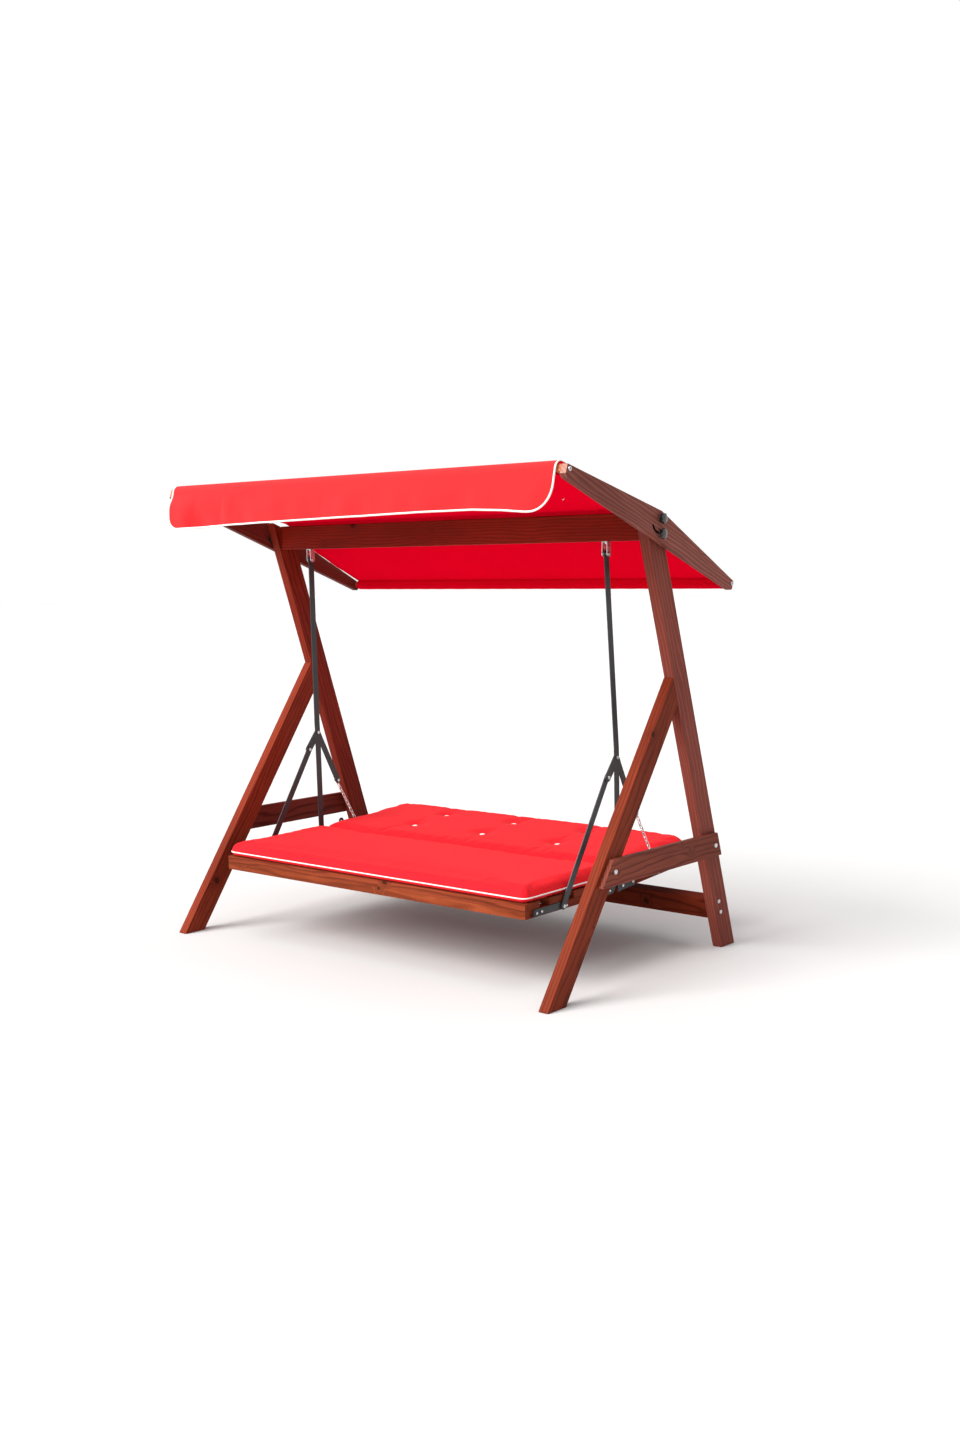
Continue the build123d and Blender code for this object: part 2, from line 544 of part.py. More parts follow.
back_rail = soft(back_prism([(2, W1), (14, W0), (562, W0), (562, W1)], SEAT_HALF - RAIL_W, SEAT_HALF), 2)
end_rail = soft(back_prism([(562, W0), (BACK_LENGTH, W0), (BACK_LENGTH, W1), (562, W1)], -SEAT_HALF, SEAT_HALF), 2)
back_centre = back_prism([(14, W0), (562, W0), (562, W1), (14, W1)], -22.5, 22.5)
back_starts = [(36.0, 128.0), (192.0, 284.0), (348.0, 440.0), (504.0, 588.0)]
back_slats = []
back_screws = []
for u0, u1 in back_starts:
    slat = soft(back_prism([(u0, W1), (u1, W1), (u1, W2), (u0, W2)], -SEAT_HALF, SEAT_HALF), 2)
    group = []
    for x in (-822.0, 0.0, 822.0):
        for du in (24.0, 50.0):
            y, z = back_pt(u0 + du, W0 + 6)
            shank = cyl_dir(x, y, z, (-SB, CB), W2 - W0 - 8, 2.2)
            y, z = back_pt(u0 + du, W2 - 3)
            screw = shank + cyl_dir(x, y, z, (-SB, CB), 3, 4.5)
            group.append(screw)
            slat = slat - screw
            if x == 0:
                back_centre -= screw
            elif x > 0:
                back_rail -= screw
    back_slats.append(slat)
    back_screws += group

# hinge leaf: runs outside the seat leaf at the pivot, steps in to the back rail
outer_leaf = (cyl_x(LEAF2_IN, LEAF2_OUT, BACK_P[0], BACK_P[1], 15)
              + prism_x([(70, 343), (74, 303), (92, 304), (92, 346), (74, 365)], LEAF2_IN, LEAF2_OUT))
step_leaf = prism_x([(84, 303.6), (92, 304), (92, 334), (84, 334)], LEAF_IN, LEAF2_OUT)
inner_leaf = prism_x([(84, 303.6), (200, 311), (200, 341), (84, 334)], LEAF_IN, LEAF_OUT)
ear = capsule_x((186, 330), (186, 418), 15, LEAF_IN, LEAF_OUT)
back_leaf = outer_leaf + step_leaf + inner_leaf + ear
back_leaf -= cyl_x(840, 860, BACK_P[0], BACK_P[1], 5.08)
back_leaf -= cyl_x(840, 860, 186, 418, 4.2)
back_marks = [(112.0, 323.0), (186.0, 328.0), (382.0, 345.0)]

chain_plate = prism_x([back_pt(258, -48), back_pt(338, -48), back_pt(338, -27), back_pt(258, -27)], LEAF_IN, LEAF_OUT)
chain_plate = fillet(chain_plate.edges().filter_by(Axis.X), 3)

back_bolts = []
for y, z in back_marks:
    head = cyl_x(LEAF_OUT, LEAF_OUT + 3.5, y, z, 7)
    head = fillet(head.edges().filter_by(GeomType.CIRCLE).sort_by(Axis.X)[-1], 2.2)
    back_bolts.append(head + cyl_x(LEAF_IN - 16, LEAF_OUT, y, z, 3))
    back_rail -= cyl_x(LEAF_IN - 16, LEAF_IN + 1, y, z, 3)
    back_leaf -= cyl_x(840, 850, y, z, 3)
    chain_plate -= cyl_x(840, 850, y, z, 3)

HOOK_BOLT_R = 3.4
a_bolt = (cyl_x(LEAF_IN - 16, CHAIN_X + 4, CHAIN_A[0], CHAIN_A[1], HOOK_BOLT_R)
          + cyl_x(CHAIN_X + 3.5, CHAIN_X + 8, CHAIN_A[0], CHAIN_A[1], 6)
          + hex_x(LEAF_OUT, LEAF_OUT + 5, CHAIN_A[0], CHAIN_A[1], 11))
back_rail -= cyl_x(LEAF_IN - 16, LEAF_IN + 1, CHAIN_A[0], CHAIN_A[1], HOOK_BOLT_R + 0.02)
chain_plate -= cyl_x(840, 850, CHAIN_A[0], CHAIN_A[1], HOOK_BOLT_R)

back_cushion = back_prism([(W2 * tb, W2), (585, W2), (585, W2 + CUSHION_T), ((W2 + CUSHION_T) * tb, W2 + CUSHION_T)],
                          -CUSHION_HALF, CUSHION_HALF)
back_cushion = fillet([e for e in back_cushion.edges() if e.center().Y > 635], 20)

buttons = []
for x in (-440.0, -25.0, 390.0):
    for u in (212.0, 446.0):
        y, z = back_pt(u, W2 + CUSHION_T)
        b = cyl_dir(x, y, z, (-SB, CB), 5, 12)
        b = fillet(b.edges().filter_by(GeomType.CIRCLE).sort_by(Axis.Z)[-1], 2.5)
        buttons.append(b)

save("back_side_rail_right", back_rail)
save("back_side_rail_left", left(back_rail))
save("back_end_rail", end_rail)
save("back_centre_rail", back_centre)
save("back_slats", *back_slats)
save("back_slat_screws", *back_screws)
save("back_hinge_leaves", back_leaf, left(back_leaf))
save("chain_plates", chain_plate, left(chain_plate))
save("back_plate_bolts", *back_bolts, *[left(b) for b in back_bolts])
save("chain_bolts", a_bolt, left(a_bolt))
save("back_cushion", back_cushion)
save("cushion_buttons", *buttons)

# ---------------------------------------------------------------- support chains
WIRE = 2.0                 # wire radius
LINK_IN = 3.5              # inner half width of a link
PITCH = 22.0
LINKS = 12
chain_len = math.hypot(CHAIN_A[0] - CHAIN_H[0], CHAIN_A[1] - CHAIN_H[1])
cd = ((CHAIN_A[0] - CHAIN_H[0]) / chain_len, (CHAIN_A[1] - CHAIN_H[1]) / chain_len)
cl = (-cd[1], cd[0])       # sideways, to the rear and up


def chain_pt(along, side, x=CHAIN_X):
    return (x, CHAIN_H[0] + along * cd[0] + side * cl[0], CHAIN_H[1] + along * cd[1] + side * cl[1])


def link(centre, upright):
    r = LINK_IN + WIRE
    h = (PITCH - 2 * LINK_IN) / 2
    o = chain_pt(centre, 0)
    if upright:
        plane = Plane(origin=o, x_dir=(0, cl[0], cl[1]), z_dir=(1, 0, 0))
    else:
        plane = Plane(origin=o, x_dir=(1, 0, 0), z_dir=(0, -cl[0], -cl[1]))
    path = SlotCenterToCenter(2 * h, 2 * r, rotation=90)
    wire = path.wire() if hasattr(path, "wire") else path.wires()[0]
    start = wire @ 0
    tangent = wire % 0
    section = Plane(origin=start, z_dir=tangent) * Circle(WIRE)
    ring = sweep(section, path=wire)
    return plane.location * ring


links = []
for i in range(LINKS):
    links.append(link(PITCH / 2 - LINK_IN + PITCH * i, i % 2 == 0))

# hook: eye, cranked shank and a bend round the bolt on the back
end_in = PITCH / 2 - LINK_IN + PITCH * (LINKS - 1) + PITCH / 2
eye_r = 5.5
eye_c = end_in - WIRE + eye_r
eye_plane = Plane(origin=chain_pt(eye_c, 0), x_dir=(0, cl[0], cl[1]), z_dir=(1, 0, 0))
eye = eye_plane.location * Torus(eye_r, WIRE)
bend = HOOK_BOLT_R + 0.3 + WIRE
pts = [chain_pt(eye_c + eye_r, 0), chain_pt(eye_c + eye_r + 5, -0.8), chain_pt(eye_c + eye_r + 14, -4.6),
       chain_pt(eye_c + eye_r + 22, -bend), chain_pt(chain_len - 10, -bend), chain_pt(chain_len, -bend)]
shank = Spline(*pts, tangents=[(0, cd[0], cd[1]), (0, cd[0], cd[1])])
sweep_end = 212.0 - 90.0


def bend_pt(deg):
    # angle from the side of the shank, through the chain's direction
    return chain_pt(chain_len + bend * math.sin(math.radians(deg)), -bend * math.cos(math.radians(deg)))


curve = ThreePointArc(bend_pt(0), bend_pt(sweep_end / 2), bend_pt(sweep_end))
hook_path = Wire([shank.edge(), curve.edge()])
section = Plane(origin=pts[0], z_dir=(0, cd[0], cd[1])) * Circle(WIRE)
hook = sweep(section, path=hook_path)
tip = Location(bend_pt(sweep_end)) * Sphere(WIRE)
hook = hook + eye + tip
chain = links + [hook]
save("chain_right", *chain)
save("chain_left", *[left(c) for c in chain])
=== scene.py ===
import math

import bpy
import bmesh
import numpy as np
from mathutils import Matrix, Vector


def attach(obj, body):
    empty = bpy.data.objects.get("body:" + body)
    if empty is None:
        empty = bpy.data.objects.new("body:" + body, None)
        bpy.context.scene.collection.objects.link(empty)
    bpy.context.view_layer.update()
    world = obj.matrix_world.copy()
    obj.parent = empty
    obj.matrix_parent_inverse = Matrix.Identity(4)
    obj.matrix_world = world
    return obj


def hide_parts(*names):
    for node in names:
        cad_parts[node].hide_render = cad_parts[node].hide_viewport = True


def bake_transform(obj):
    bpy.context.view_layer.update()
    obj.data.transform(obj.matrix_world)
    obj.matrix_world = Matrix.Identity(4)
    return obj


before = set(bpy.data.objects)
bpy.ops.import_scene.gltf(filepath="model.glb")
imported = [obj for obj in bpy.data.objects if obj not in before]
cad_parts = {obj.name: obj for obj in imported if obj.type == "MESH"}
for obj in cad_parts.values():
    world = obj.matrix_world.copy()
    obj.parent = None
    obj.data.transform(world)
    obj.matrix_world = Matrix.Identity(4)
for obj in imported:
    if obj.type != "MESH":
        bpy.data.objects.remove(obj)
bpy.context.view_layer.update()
scene = bpy.context.scene

# ------------------------------------------------------------------ camera
IMG_W, IMG_H = 960, 1446


def make_camera():
    yaw, pitch, roll = 0.697596, 0.151889, -0.014449
    back = Vector((math.sin(yaw) * math.cos(pitch), -math.cos(yaw) * math.cos(pitch), math.sin(pitch)))
    fwd = -back
    right = fwd.cross(Vector((0, 0, 1))).normalized()
    up = right.cross(fwd)
    r2 = math.cos(roll) * right + math.sin(roll) * up
    u2 = -math.sin(roll) * right + math.cos(roll) * up
    data = bpy.data.cameras.new("view_camera")
    data.sensor_fit = "AUTO"
    data.sensor_width = 36.0
    data.lens = 1517.30 / IMG_H * 36.0
    data.shift_x = (IMG_W / 2 - 476.44) / IMG_H
    data.shift_y = (797.92 - IMG_H / 2) / IMG_H
    data.clip_end = 100
    cam = bpy.data.objects.new("view_camera", data)
    scene.collection.objects.link(cam)
    m = Matrix.Identity(4)
    for i in range(3):
        m[i][0], m[i][1], m[i][2] = r2[i], u2[i], back[i]
    m.translation = Vector((4.3103, -4.9455, 1.6284))
    cam.matrix_world = m
    scene.camera = cam


make_camera()
scene.view_settings.view_transform = "Standard"
scene.view_settings.look = "None"


# ------------------------------------------------------------------ node helpers
class Net:
    def __init__(self, name):
        self.mat = bpy.data.materials.new(name)
        self.mat.use_nodes = True
        self.tree = self.mat.node_tree
        self.tree.nodes.clear()
        self.out = self.tree.nodes.new("ShaderNodeOutputMaterial")
        self.bsdf = self.tree.nodes.new("ShaderNodeBsdfPrincipled")
        self.link(self.bsdf.outputs[0], self.out.inputs[0])

    def link(self, a, b):
        self.tree.links.new(a, b)

    def put(self, socket, value):
        if isinstance(value, bpy.types.NodeSocket):
            self.link(value, socket)
        elif value is not None:
            socket.default_value = value

    def node(self, kind, **inputs):
        n = self.tree.nodes.new(kind)
        for k, v in inputs.items():
            if k in n.inputs:
                self.put(n.inputs[k], v)
            else:
                setattr(n, k, v)
        return n

    def math(self, op, a, b=0.0, c=0.0, clamp=False):
        n = self.tree.nodes.new("ShaderNodeMath")
        n.operation = op
        n.use_clamp = clamp
        self.put(n.inputs[0], a)
        self.put(n.inputs[1], b)
        self.put(n.inputs[2], c)
        return n.outputs[0]

    def vec(self, x, y, z):
        n = self.tree.nodes.new("ShaderNodeCombineXYZ")
        self.put(n.inputs[0], x)
        self.put(n.inputs[1], y)
        self.put(n.inputs[2], z)
        return n.outputs[0]

    def split(self, v):
        n = self.tree.nodes.new("ShaderNodeSeparateXYZ")
        self.link(v, n.inputs[0])
        return n.outputs

    def noise(self, vector, scale=1.0, detail=3.0, rough=0.5):
        n = self.tree.nodes.new("ShaderNodeTexNoise")
        self.put(n.inputs["Vector"], vector)
        n.inputs["Scale"].default_value = scale
        n.inputs["Detail"].default_value = detail
        n.inputs["Roughness"].default_value = rough
        return n.outputs[0]

    def mix(self, factor, a, b, mode="MIX"):
        n = self.tree.nodes.new("ShaderNodeMix")
        n.data_type = "RGBA"
        n.blend_type = mode
        self.put(n.inputs[0], factor)
        self.put(n.inputs[6], a)
        self.put(n.inputs[7], b)
        return n.outputs[2]

    def remap(self, v, a, b, c, d, smooth=False):
        n = self.tree.nodes.new("ShaderNodeMapRange")
        if smooth:
            n.interpolation_type = "SMOOTHSTEP"
        self.put(n.inputs[0], v)
        for i, x in enumerate((a, b, c, d)):
            n.inputs[1 + i].default_value = x
        return n.outputs[0]

    def bump(self, height, strength, distance):
        n = self.tree.nodes.new("ShaderNodeBump")
        n.inputs["Strength"].default_value = strength
        n.inputs["Distance"].default_value = distance
        self.put(n.inputs["Height"], height)
        self.put(self.bsdf.inputs["Normal"], n.outputs[0])


def rgb(r, g, b):
    return (r, g, b, 1.0)


def wood(name, grain, seed, mean, pale=0.0, end=None):
    """Red-brown stained softwood. grain is the board's direction in the row frame; seed shifts the figure from board to board."""
    n = Net(name)
    g = Vector(grain).normalized()
    a = Vector((0, 0, 1)) if abs(g.z) < 0.6 else Vector((0, 1, 0))
    a = (a - g * a.dot(g)).normalized()
    b = g.cross(a)
    tc = n.tree.nodes.new("ShaderNodeTexCoord").outputs["Object"]

    def along(axis, shift):
        d = n.tree.nodes.new("ShaderNodeVectorMath")
        d.operation = "DOT_PRODUCT"
        n.link(tc, d.inputs[0])
        d.inputs[1].default_value = axis
        return n.math("ADD", d.outputs["Value"], shift)

    sg, sa, sb = 3.1 * seed + 0.7, 0.37 * ((seed * 7) % 5) + 0.11, 0.23 * ((seed * 3) % 7) + 0.05
    L, A, B = along(g, sg), along(a, sa), along(b, sb)
    # knots: a few cells of a coarse pattern that happen to lie in the board
    cell = 5.2
    vor = n.tree.nodes.new("ShaderNodeTexVoronoi")
    vor.inputs["Scale"].default_value = 1.0
    vor.inputs["Randomness"].default_value = 0.9
    n.link(n.vec(n.math("MULTIPLY", L, cell), n.math("MULTIPLY", A, cell), n.math("MULTIPLY", B, cell)),
           vor.inputs["Vector"])
    kd = n.math("DIVIDE", vor.outputs["Distance"], cell)
    kring = n.noise(n.vec(n.math("MULTIPLY", L, 60), n.math("MULTIPLY", A, 60), n.math("MULTIPLY", B, 60)), 1.0, 2)
    kd = n.math("ADD", kd, n.math("MULTIPLY", n.math("SUBTRACT", kring, 0.5), 0.012))
    knot = n.remap(kd, 0.011, 0.017, 1.0, 0.0, True)
    halo = n.remap(kd, 0.010, 0.045, 1.0, 0.0, True)
    # growth rings seen along the board, bent by slow noise and round the knots
    slow = n.noise(n.vec(n.math("MULTIPLY", L, 1.7), n.math("MULTIPLY", A, 9), n.math("MULTIPLY", B, 9)), 1.0, 2)
    mid = n.noise(n.vec(n.math("MULTIPLY", L, 7), n.math("MULTIPLY", A, 40), n.math("MULTIPLY", B, 40)), 1.0, 2)
    ca, cb = 0.05 + 0.03 * (seed % 4), 0.09 + 0.02 * ((seed * 5) % 3)
    da = n.math("SUBTRACT", A, sa + ca * (1 if seed % 2 else -1))
    db = n.math("SUBTRACT", B, sb + cb)
    r = n.math("SQRT", n.math("ADD", n.math("MULTIPLY", da, da), n.math("MULTIPLY", db, db)))
    r = n.math("ADD", r, n.math("MULTIPLY", slow, 0.055))
    r = n.math("ADD", r, n.math("MULTIPLY", mid, 0.006))
    r = n.math("ADD", r, n.math("MULTIPLY", halo, 0.020))
    fine_ring = n.math("SINE", n.math("MULTIPLY", r, 6.2832 / 0.0058))
    ring = n.math("SINE", n.math("MULTIPLY", r, 6.2832 / 0.0122))
    ring = n.math("POWER", n.math("MULTIPLY_ADD", ring, 0.5, 0.5), 3.0)
    ring = n.math("ADD", n.math("MULTIPLY", ring, 0.75), n.math("MULTIPLY", n.math("MULTIPLY_ADD", fine_ring, 0.5, 0.5), 0.25))
    fibre = n.noise(n.vec(n.math("MULTIPLY", L, 11), n.math("MULTIPLY", A, 420), n.math("MULTIPLY", B, 420)), 1.0, 4, 0.6)
    patch = n.noise(n.vec(n.math("MULTIPLY", L, 2.2), n.math("MULTIPLY", A, 5), n.math("MULTIPLY", B, 5)), 1.0, 3)
    def shade(k, sat=1.0):
        return rgb(mean[0] * k, mean[1] * k * sat, mean[2] * k * sat)

    # pale boards carry light ring lines on a darker ground, the others dark lines on a lighter one
    ground, lines, deep = (shade(0.86), shade(1.75, 1.15), shade(0.30)) if pale else (shade(1.32), shade(0.52, 0.8), shade(0.25))
    col = n.mix(n.math("MULTIPLY", ring, pale if pale else 0.85), ground, lines)
    col = n.mix(n.remap(patch, 0.35, 0.70, 0.0, 0.6, True), col, n.mix(1.0, col, rgb(0.60, 0.52, 0.50), "MULTIPLY"))
    col = n.mix(n.remap(fibre, 0.35, 0.72, 0.0, 0.65), col, n.mix(1.0, col, rgb(0.66, 0.58, 0.58), "MULTIPLY"))
    col = n.mix(n.math("MULTIPLY", halo, 0.45), col, shade(0.5))
    col = n.mix(knot, col, deep)
    if end:
        # sawn end: paler, with the rings seen across
        nrm = n.tree.nodes.new("ShaderNodeNewGeometry").outputs["Normal"]
        dot = n.tree.nodes.new("ShaderNodeVectorMath")
        dot.operation = "DOT_PRODUCT"
        n.link(nrm, dot.inputs[0])
        dot.inputs[1].default_value = g
        face = n.remap(n.math("ABSOLUTE", dot.outputs["Value"]), 0.75, 0.9, 0.0, 1.0, True)
        col = n.mix(face, col, n.mix(n.math("MULTIPLY", ring, 0.6), rgb(*end), shade(1.1)))
    if "canopy_rail" in name:
        # painted shade: the walls of the arc slot are painted near-black to darken the recess
        p = n.split(tc)
        dy, dz = n.math("SUBTRACT", p[1], 0.020), n.math("SUBTRACT", p[2], 1.797)
        rad = n.math("SQRT", n.math("ADD", n.math("MULTIPLY", dy, dy), n.math("MULTIPLY", dz, dz)))
        side = n.split(n.tree.nodes.new("ShaderNodeNewGeometry").outputs["Normal"])[0]
        slot_painted_shade = n.math("MULTIPLY", n.math("LESS_THAN", n.math("ABSOLUTE", n.math("SUBTRACT", rad, 0.058)), 0.0068),
                      n.math("LESS_THAN", n.math("ABSOLUTE", side), 0.5))
        col = n.mix(slot_painted_shade, col, rgb(0.008, 0.006, 0.006))
    n.put(n.bsdf.inputs["Base Color"], col)
    n.put(n.bsdf.inputs["Roughness"], n.remap(n.math("ADD", ring, fibre), 0.3, 1.6, 0.60, 0.46))
    n.bsdf.inputs["Specular IOR Level"].default_value = 0.06
    height = n.math("ADD", n.math("MULTIPLY", ring, -0.6), n.math("MULTIPLY", fibre, 0.9))
    n.bump(height, 0.35, 0.0006)
    return n.mat


def cloth(name, base, dark, pitch=0.0011, bump=0.35, uv=True, rough=0.85, through=None, spec=0.12, sheen=0.035):
    """Plain-woven polyester; the threads follow the sheet's own flat coordinates, in metres."""
    n = Net(name)
    tc = n.tree.nodes.new("ShaderNodeTexCoord")
    v = n.split(tc.outputs["UV" if uv else "Object"])
    k = 2 * math.pi / pitch
    wx = n.math("SINE", n.math("MULTIPLY", v[0], k))
    wy = n.math("SINE", n.math("MULTIPLY", v[1], k))
    weave = n.math("MULTIPLY", wx, wy)
    slub = n.noise(n.vec(n.math("MULTIPLY", v[0], 900), n.math("MULTIPLY", v[1], 60), 0.0), 1.0, 2)
    slub2 = n.noise(n.vec(n.math("MULTIPLY", v[0], 60), n.math("MULTIPLY", v[1], 900), 3.0), 1.0, 2)
    broad = n.noise(n.vec(n.math("MULTIPLY", v[0], 3.0), n.math("MULTIPLY", v[1], 3.0), 1.0), 1.0, 3)
    thread = n.math("ADD", n.math("MULTIPLY", slub, 0.5), n.math("MULTIPLY", slub2, 0.5))
    f = n.math("ADD", n.math("MULTIPLY_ADD", weave, 0.16, 0.22), n.remap(thread, 0.35, 0.65, -0.12, 0.22), clamp=True)
    col = n.mix(f, base, dark)
    col = n.mix(n.remap(broad, 0.3, 0.75, 0.0, 0.22, True), col, dark)
    n.put(n.bsdf.inputs["Base Color"], col)
    n.put(n.bsdf.inputs["Roughness"], n.remap(thread, 0.3, 0.7, rough - 0.06, rough + 0.06))
    n.bsdf.inputs["Specular IOR Level"].default_value = spec
    n.bsdf.inputs["Sheen Weight"].default_value = sheen
    n.bsdf.inputs["Sheen Roughness"].default_value = 0.6
    n.bump(n.math("ADD", n.math("MULTIPLY", weave, 0.5), n.math("MULTIPLY", thread, 0.8)), bump, 0.0004)
    if through:
        # daylight glows through the single layer
        share, tint = through
        glow = n.tree.nodes.new("ShaderNodeBsdfTranslucent")
        n.put(glow.inputs["Color"], n.mix(n.math("MULTIPLY", f, 0.35), tint, dark))
        both = n.tree.nodes.new("ShaderNodeMixShader")
        both.inputs[0].default_value = share
        n.link(n.bsdf.outputs[0], both.inputs[1])
        n.link(glow.outputs[0], both.inputs[2])
        n.link(both.outputs[0], n.out.inputs[0])
    return n.mat


def plain(name, color, rough, metallic=0.0, grain=180.0, amount=0.18, bump=0.08, coat=0.0, spec=0.5, spread=0.08):
    """Moulded, painted or plated surfaces: fine mottling in colour, gloss and relief."""
    n = Net(name)
    tc = n.tree.nodes.new("ShaderNodeTexCoord").outputs["Object"]
    fine = n.noise(tc, grain, 4, 0.6)
    broad = n.noise(tc, 14.0, 3)
    dark = rgb(*[c * (1 - amount) for c in color])
    col = n.mix(n.remap(fine, 0.3, 0.7, 0.0, 1.0), rgb(*color), dark)
    col = n.mix(n.remap(broad, 0.35, 0.7, 0.0, 0.6, True), col, dark)
    n.put(n.bsdf.inputs["Base Color"], col)
    n.put(n.bsdf.inputs["Roughness"], n.remap(n.math("ADD", fine, broad), 0.6, 1.4, rough - spread, rough + spread))
    n.bsdf.inputs["Metallic"].default_value = metallic
    n.bsdf.inputs["Specular IOR Level"].default_value = spec
    n.bsdf.inputs["Coat Weight"].default_value = coat
    n.bump(fine, bump, 0.0003)
    return n.mat


RED = rgb(0.78, 0.006, 0.014)
RED_DARK = rgb(0.56, 0.002, 0.010)
GLOW = rgb(0.97, 0.001, 0.16)
# Lit and shaded copies of one canopy fabric: the outer copy's base is lifted in green as a painted highlight wash of
# its front-lit side, and the underside copy is a deeper, purer red; both let light through
M_CANOPY_PAINTED_SHEEN = cloth("canopy_cloth_painted_sheen_weave", rgb(0.80, 0.022, 0.026), rgb(0.60, 0.010, 0.014), pitch=0.0013, through=(0.40, GLOW), spec=0.3, sheen=0.12)
M_UNDER = cloth("canopy_under_weave", rgb(0.88, 0.002, 0.030), rgb(0.60, 0.0008, 0.018), pitch=0.0013, through=(0.52, GLOW), spec=0.0, sheen=0.0)
# painted shade: the sleeve copy of the cloth has a darker base to paint the shade on the bands round the crossbars
M_HEM_PAINTED_SHADE = cloth("canopy_hem_painted_shade_weave", rgb(0.70, 0.001, 0.016), rgb(0.50, 0.0005, 0.012), pitch=0.0013, spec=0.0, sheen=0.0)
M_CUSHION = cloth("cushion_cloth_weave", rgb(0.80, 0.012, 0.020), RED_DARK, pitch=0.0011, spec=0.10, sheen=0.025)
M_PIPING = plain("white_piping_cloth", (0.82, 0.80, 0.76), 0.75, grain=900.0, amount=0.14, bump=0.3, spec=0.2)
M_BLACK = plain("black_powder_coat", (0.016, 0.016, 0.019), 0.42, grain=700.0, amount=0.3, bump=0.12)
M_ZINC = plain("zinc_plate", (0.70, 0.70, 0.71), 0.32, metallic=1.0, grain=260.0, amount=0.25, bump=0.06)
M_CHAIN = plain("zinc_chain", (0.86, 0.85, 0.85), 0.24, metallic=1.0, grain=400.0, amount=0.25, bump=0.05)
M_KNOB = plain("black_gloss_plastic", (0.010, 0.010, 0.011), 0.14, grain=500.0, amount=0.2, bump=0.03, coat=0.4)
M_BUTTON = plain("white_button_plastic", (0.84, 0.83, 0.79), 0.4, grain=500.0, amount=0.08, bump=0.05)

POST_DIR = (0, -0.3151, 0.9491)
LEG_DIR = (0, 0.5795, 0.8150)
RAIL_DIR = (0, 0.9385, -0.3453)
BACK_DIR = (0, 0.9979, 0.0646)
RUST = (0.19, 0.035, 0.013)
DEEP = (0.15, 0.016, 0.006)
# Per-board mean colours: partly the stain's board-to-board tone and partly painted light and shade, since each was set
# from how its seen face looks; boards whose seen face is lit (right-hand post, brace and canopy rail, left front leg)
# run paler, and those seen in shade run darker
WOOD = {
    "rear_post_left": (POST_DIR, 1, (0.17, 0.019, 0.008)), "rear_post_right": (POST_DIR, 2, (0.205, 0.048, 0.034), 0.5),
    "front_leg_left": (LEG_DIR, 3, (0.20, 0.028, 0.011)), "front_leg_right": (LEG_DIR, 4, (0.17, 0.027, 0.010)),
    "side_brace_left": ((0, 1, 0), 5, (0.14, 0.024, 0.016)), "side_brace_right": ((0, 1, 0), 6, (0.175, 0.044, 0.028)),
    "top_beam": ((1, 0, 0), 7, (0.185, 0.013, 0.005)), "rear_stretcher": ((1, 0, 0), 8, (0.13, 0.017, 0.006)),
    "canopy_rail_left": (RAIL_DIR, 9, (0.15, 0.026, 0.018), 0.4, (0.42, 0.22, 0.17)),
    "canopy_rail_right": (RAIL_DIR, 10, (0.20, 0.060, 0.046), 0.75, (0.42, 0.22, 0.17)),
    # painted light: the front crossbar's pale colour paints the light on its sunlit front face
    "front_crossbar": ((1, 0, 0), 11, (0.62, 0.24, 0.11)), "rear_crossbar": ((1, 0, 0), 12, (0.35, 0.12, 0.06)),
    "seat_side_rail_left": ((0, 1, 0), 13, DEEP), "seat_side_rail_right": ((0, 1, 0), 14, (0.14, 0.02, 0.008)),
    "seat_front_rail": ((1, 0, 0), 15, (0.215, 0.043, 0.014)), "seat_centre_rail": ((0, 1, 0), 16, DEEP),
    "seat_slats": ((1, 0, 0), 17, RUST), "back_slats": ((1, 0, 0), 18, RUST),
    "back_side_rail_left": (BACK_DIR, 19, DEEP), "back_side_rail_right": (BACK_DIR, 20, (0.14, 0.02, 0.008)),
    "back_end_rail": ((1, 0, 0), 21, RUST), "back_centre_rail": (BACK_DIR, 22, DEEP),
}
BLACK = ("hanger_bar_left", "hanger_bar_right", "hanger_arms_left", "hanger_arms_right", "front_strut_left",
         "front_strut_right", "strap_plates", "seat_hinge_leaves", "back_hinge_leaves", "chain_plates")
KNOBS = ("tilt_knob_left", "tilt_knob_right", "clamp_knob_left", "clamp_knob_right")

for node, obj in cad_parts.items():
    if node in WOOD:
        mat = wood("wood_" + node, *WOOD[node])
    elif node in BLACK:
        mat = M_BLACK
    elif node in KNOBS:
        mat = M_KNOB
    elif node.startswith("chain_") and node in ("chain_left", "chain_right"):
        mat = M_CHAIN
    else:
        mat = M_ZINC
    obj.data.materials.clear()
    obj.data.materials.append(mat)


# ------------------------------------------------------------------ mesh helpers
def add_mesh(name, verts, faces, mat, uvs=None, smooth=True):
    me = bpy.data.meshes.new(name)
    me.from_pydata([tuple(map(float, v)) for v in verts], [], faces)
    me.validate()
    me.materials.append(mat)
    if smooth:
        me.polygons.foreach_set("use_smooth", [True] * len(me.polygons))
    if uvs is not None:
        layer = me.uv_layers.new(name="flat")
        loops = np.zeros(len(me.loops), np.int32)
        me.loops.foreach_get("vertex_index", loops)
        layer.data.foreach_set("uv", np.asarray(uvs, np.float32)[loops].ravel())
    me.update()
    ob = bpy.data.objects.new(name, me)
    scene.collection.objects.link(ob)
    return ob


def grid_faces(rows, cols, keep=None, base=0):
    out = []
    for i in range(rows - 1):
        for j in range(cols - 1):
            if keep is None or keep(i, j):
                a = base + i * cols + j
                out.append((a, a + 1, a + cols + 1, a + cols))
    return out


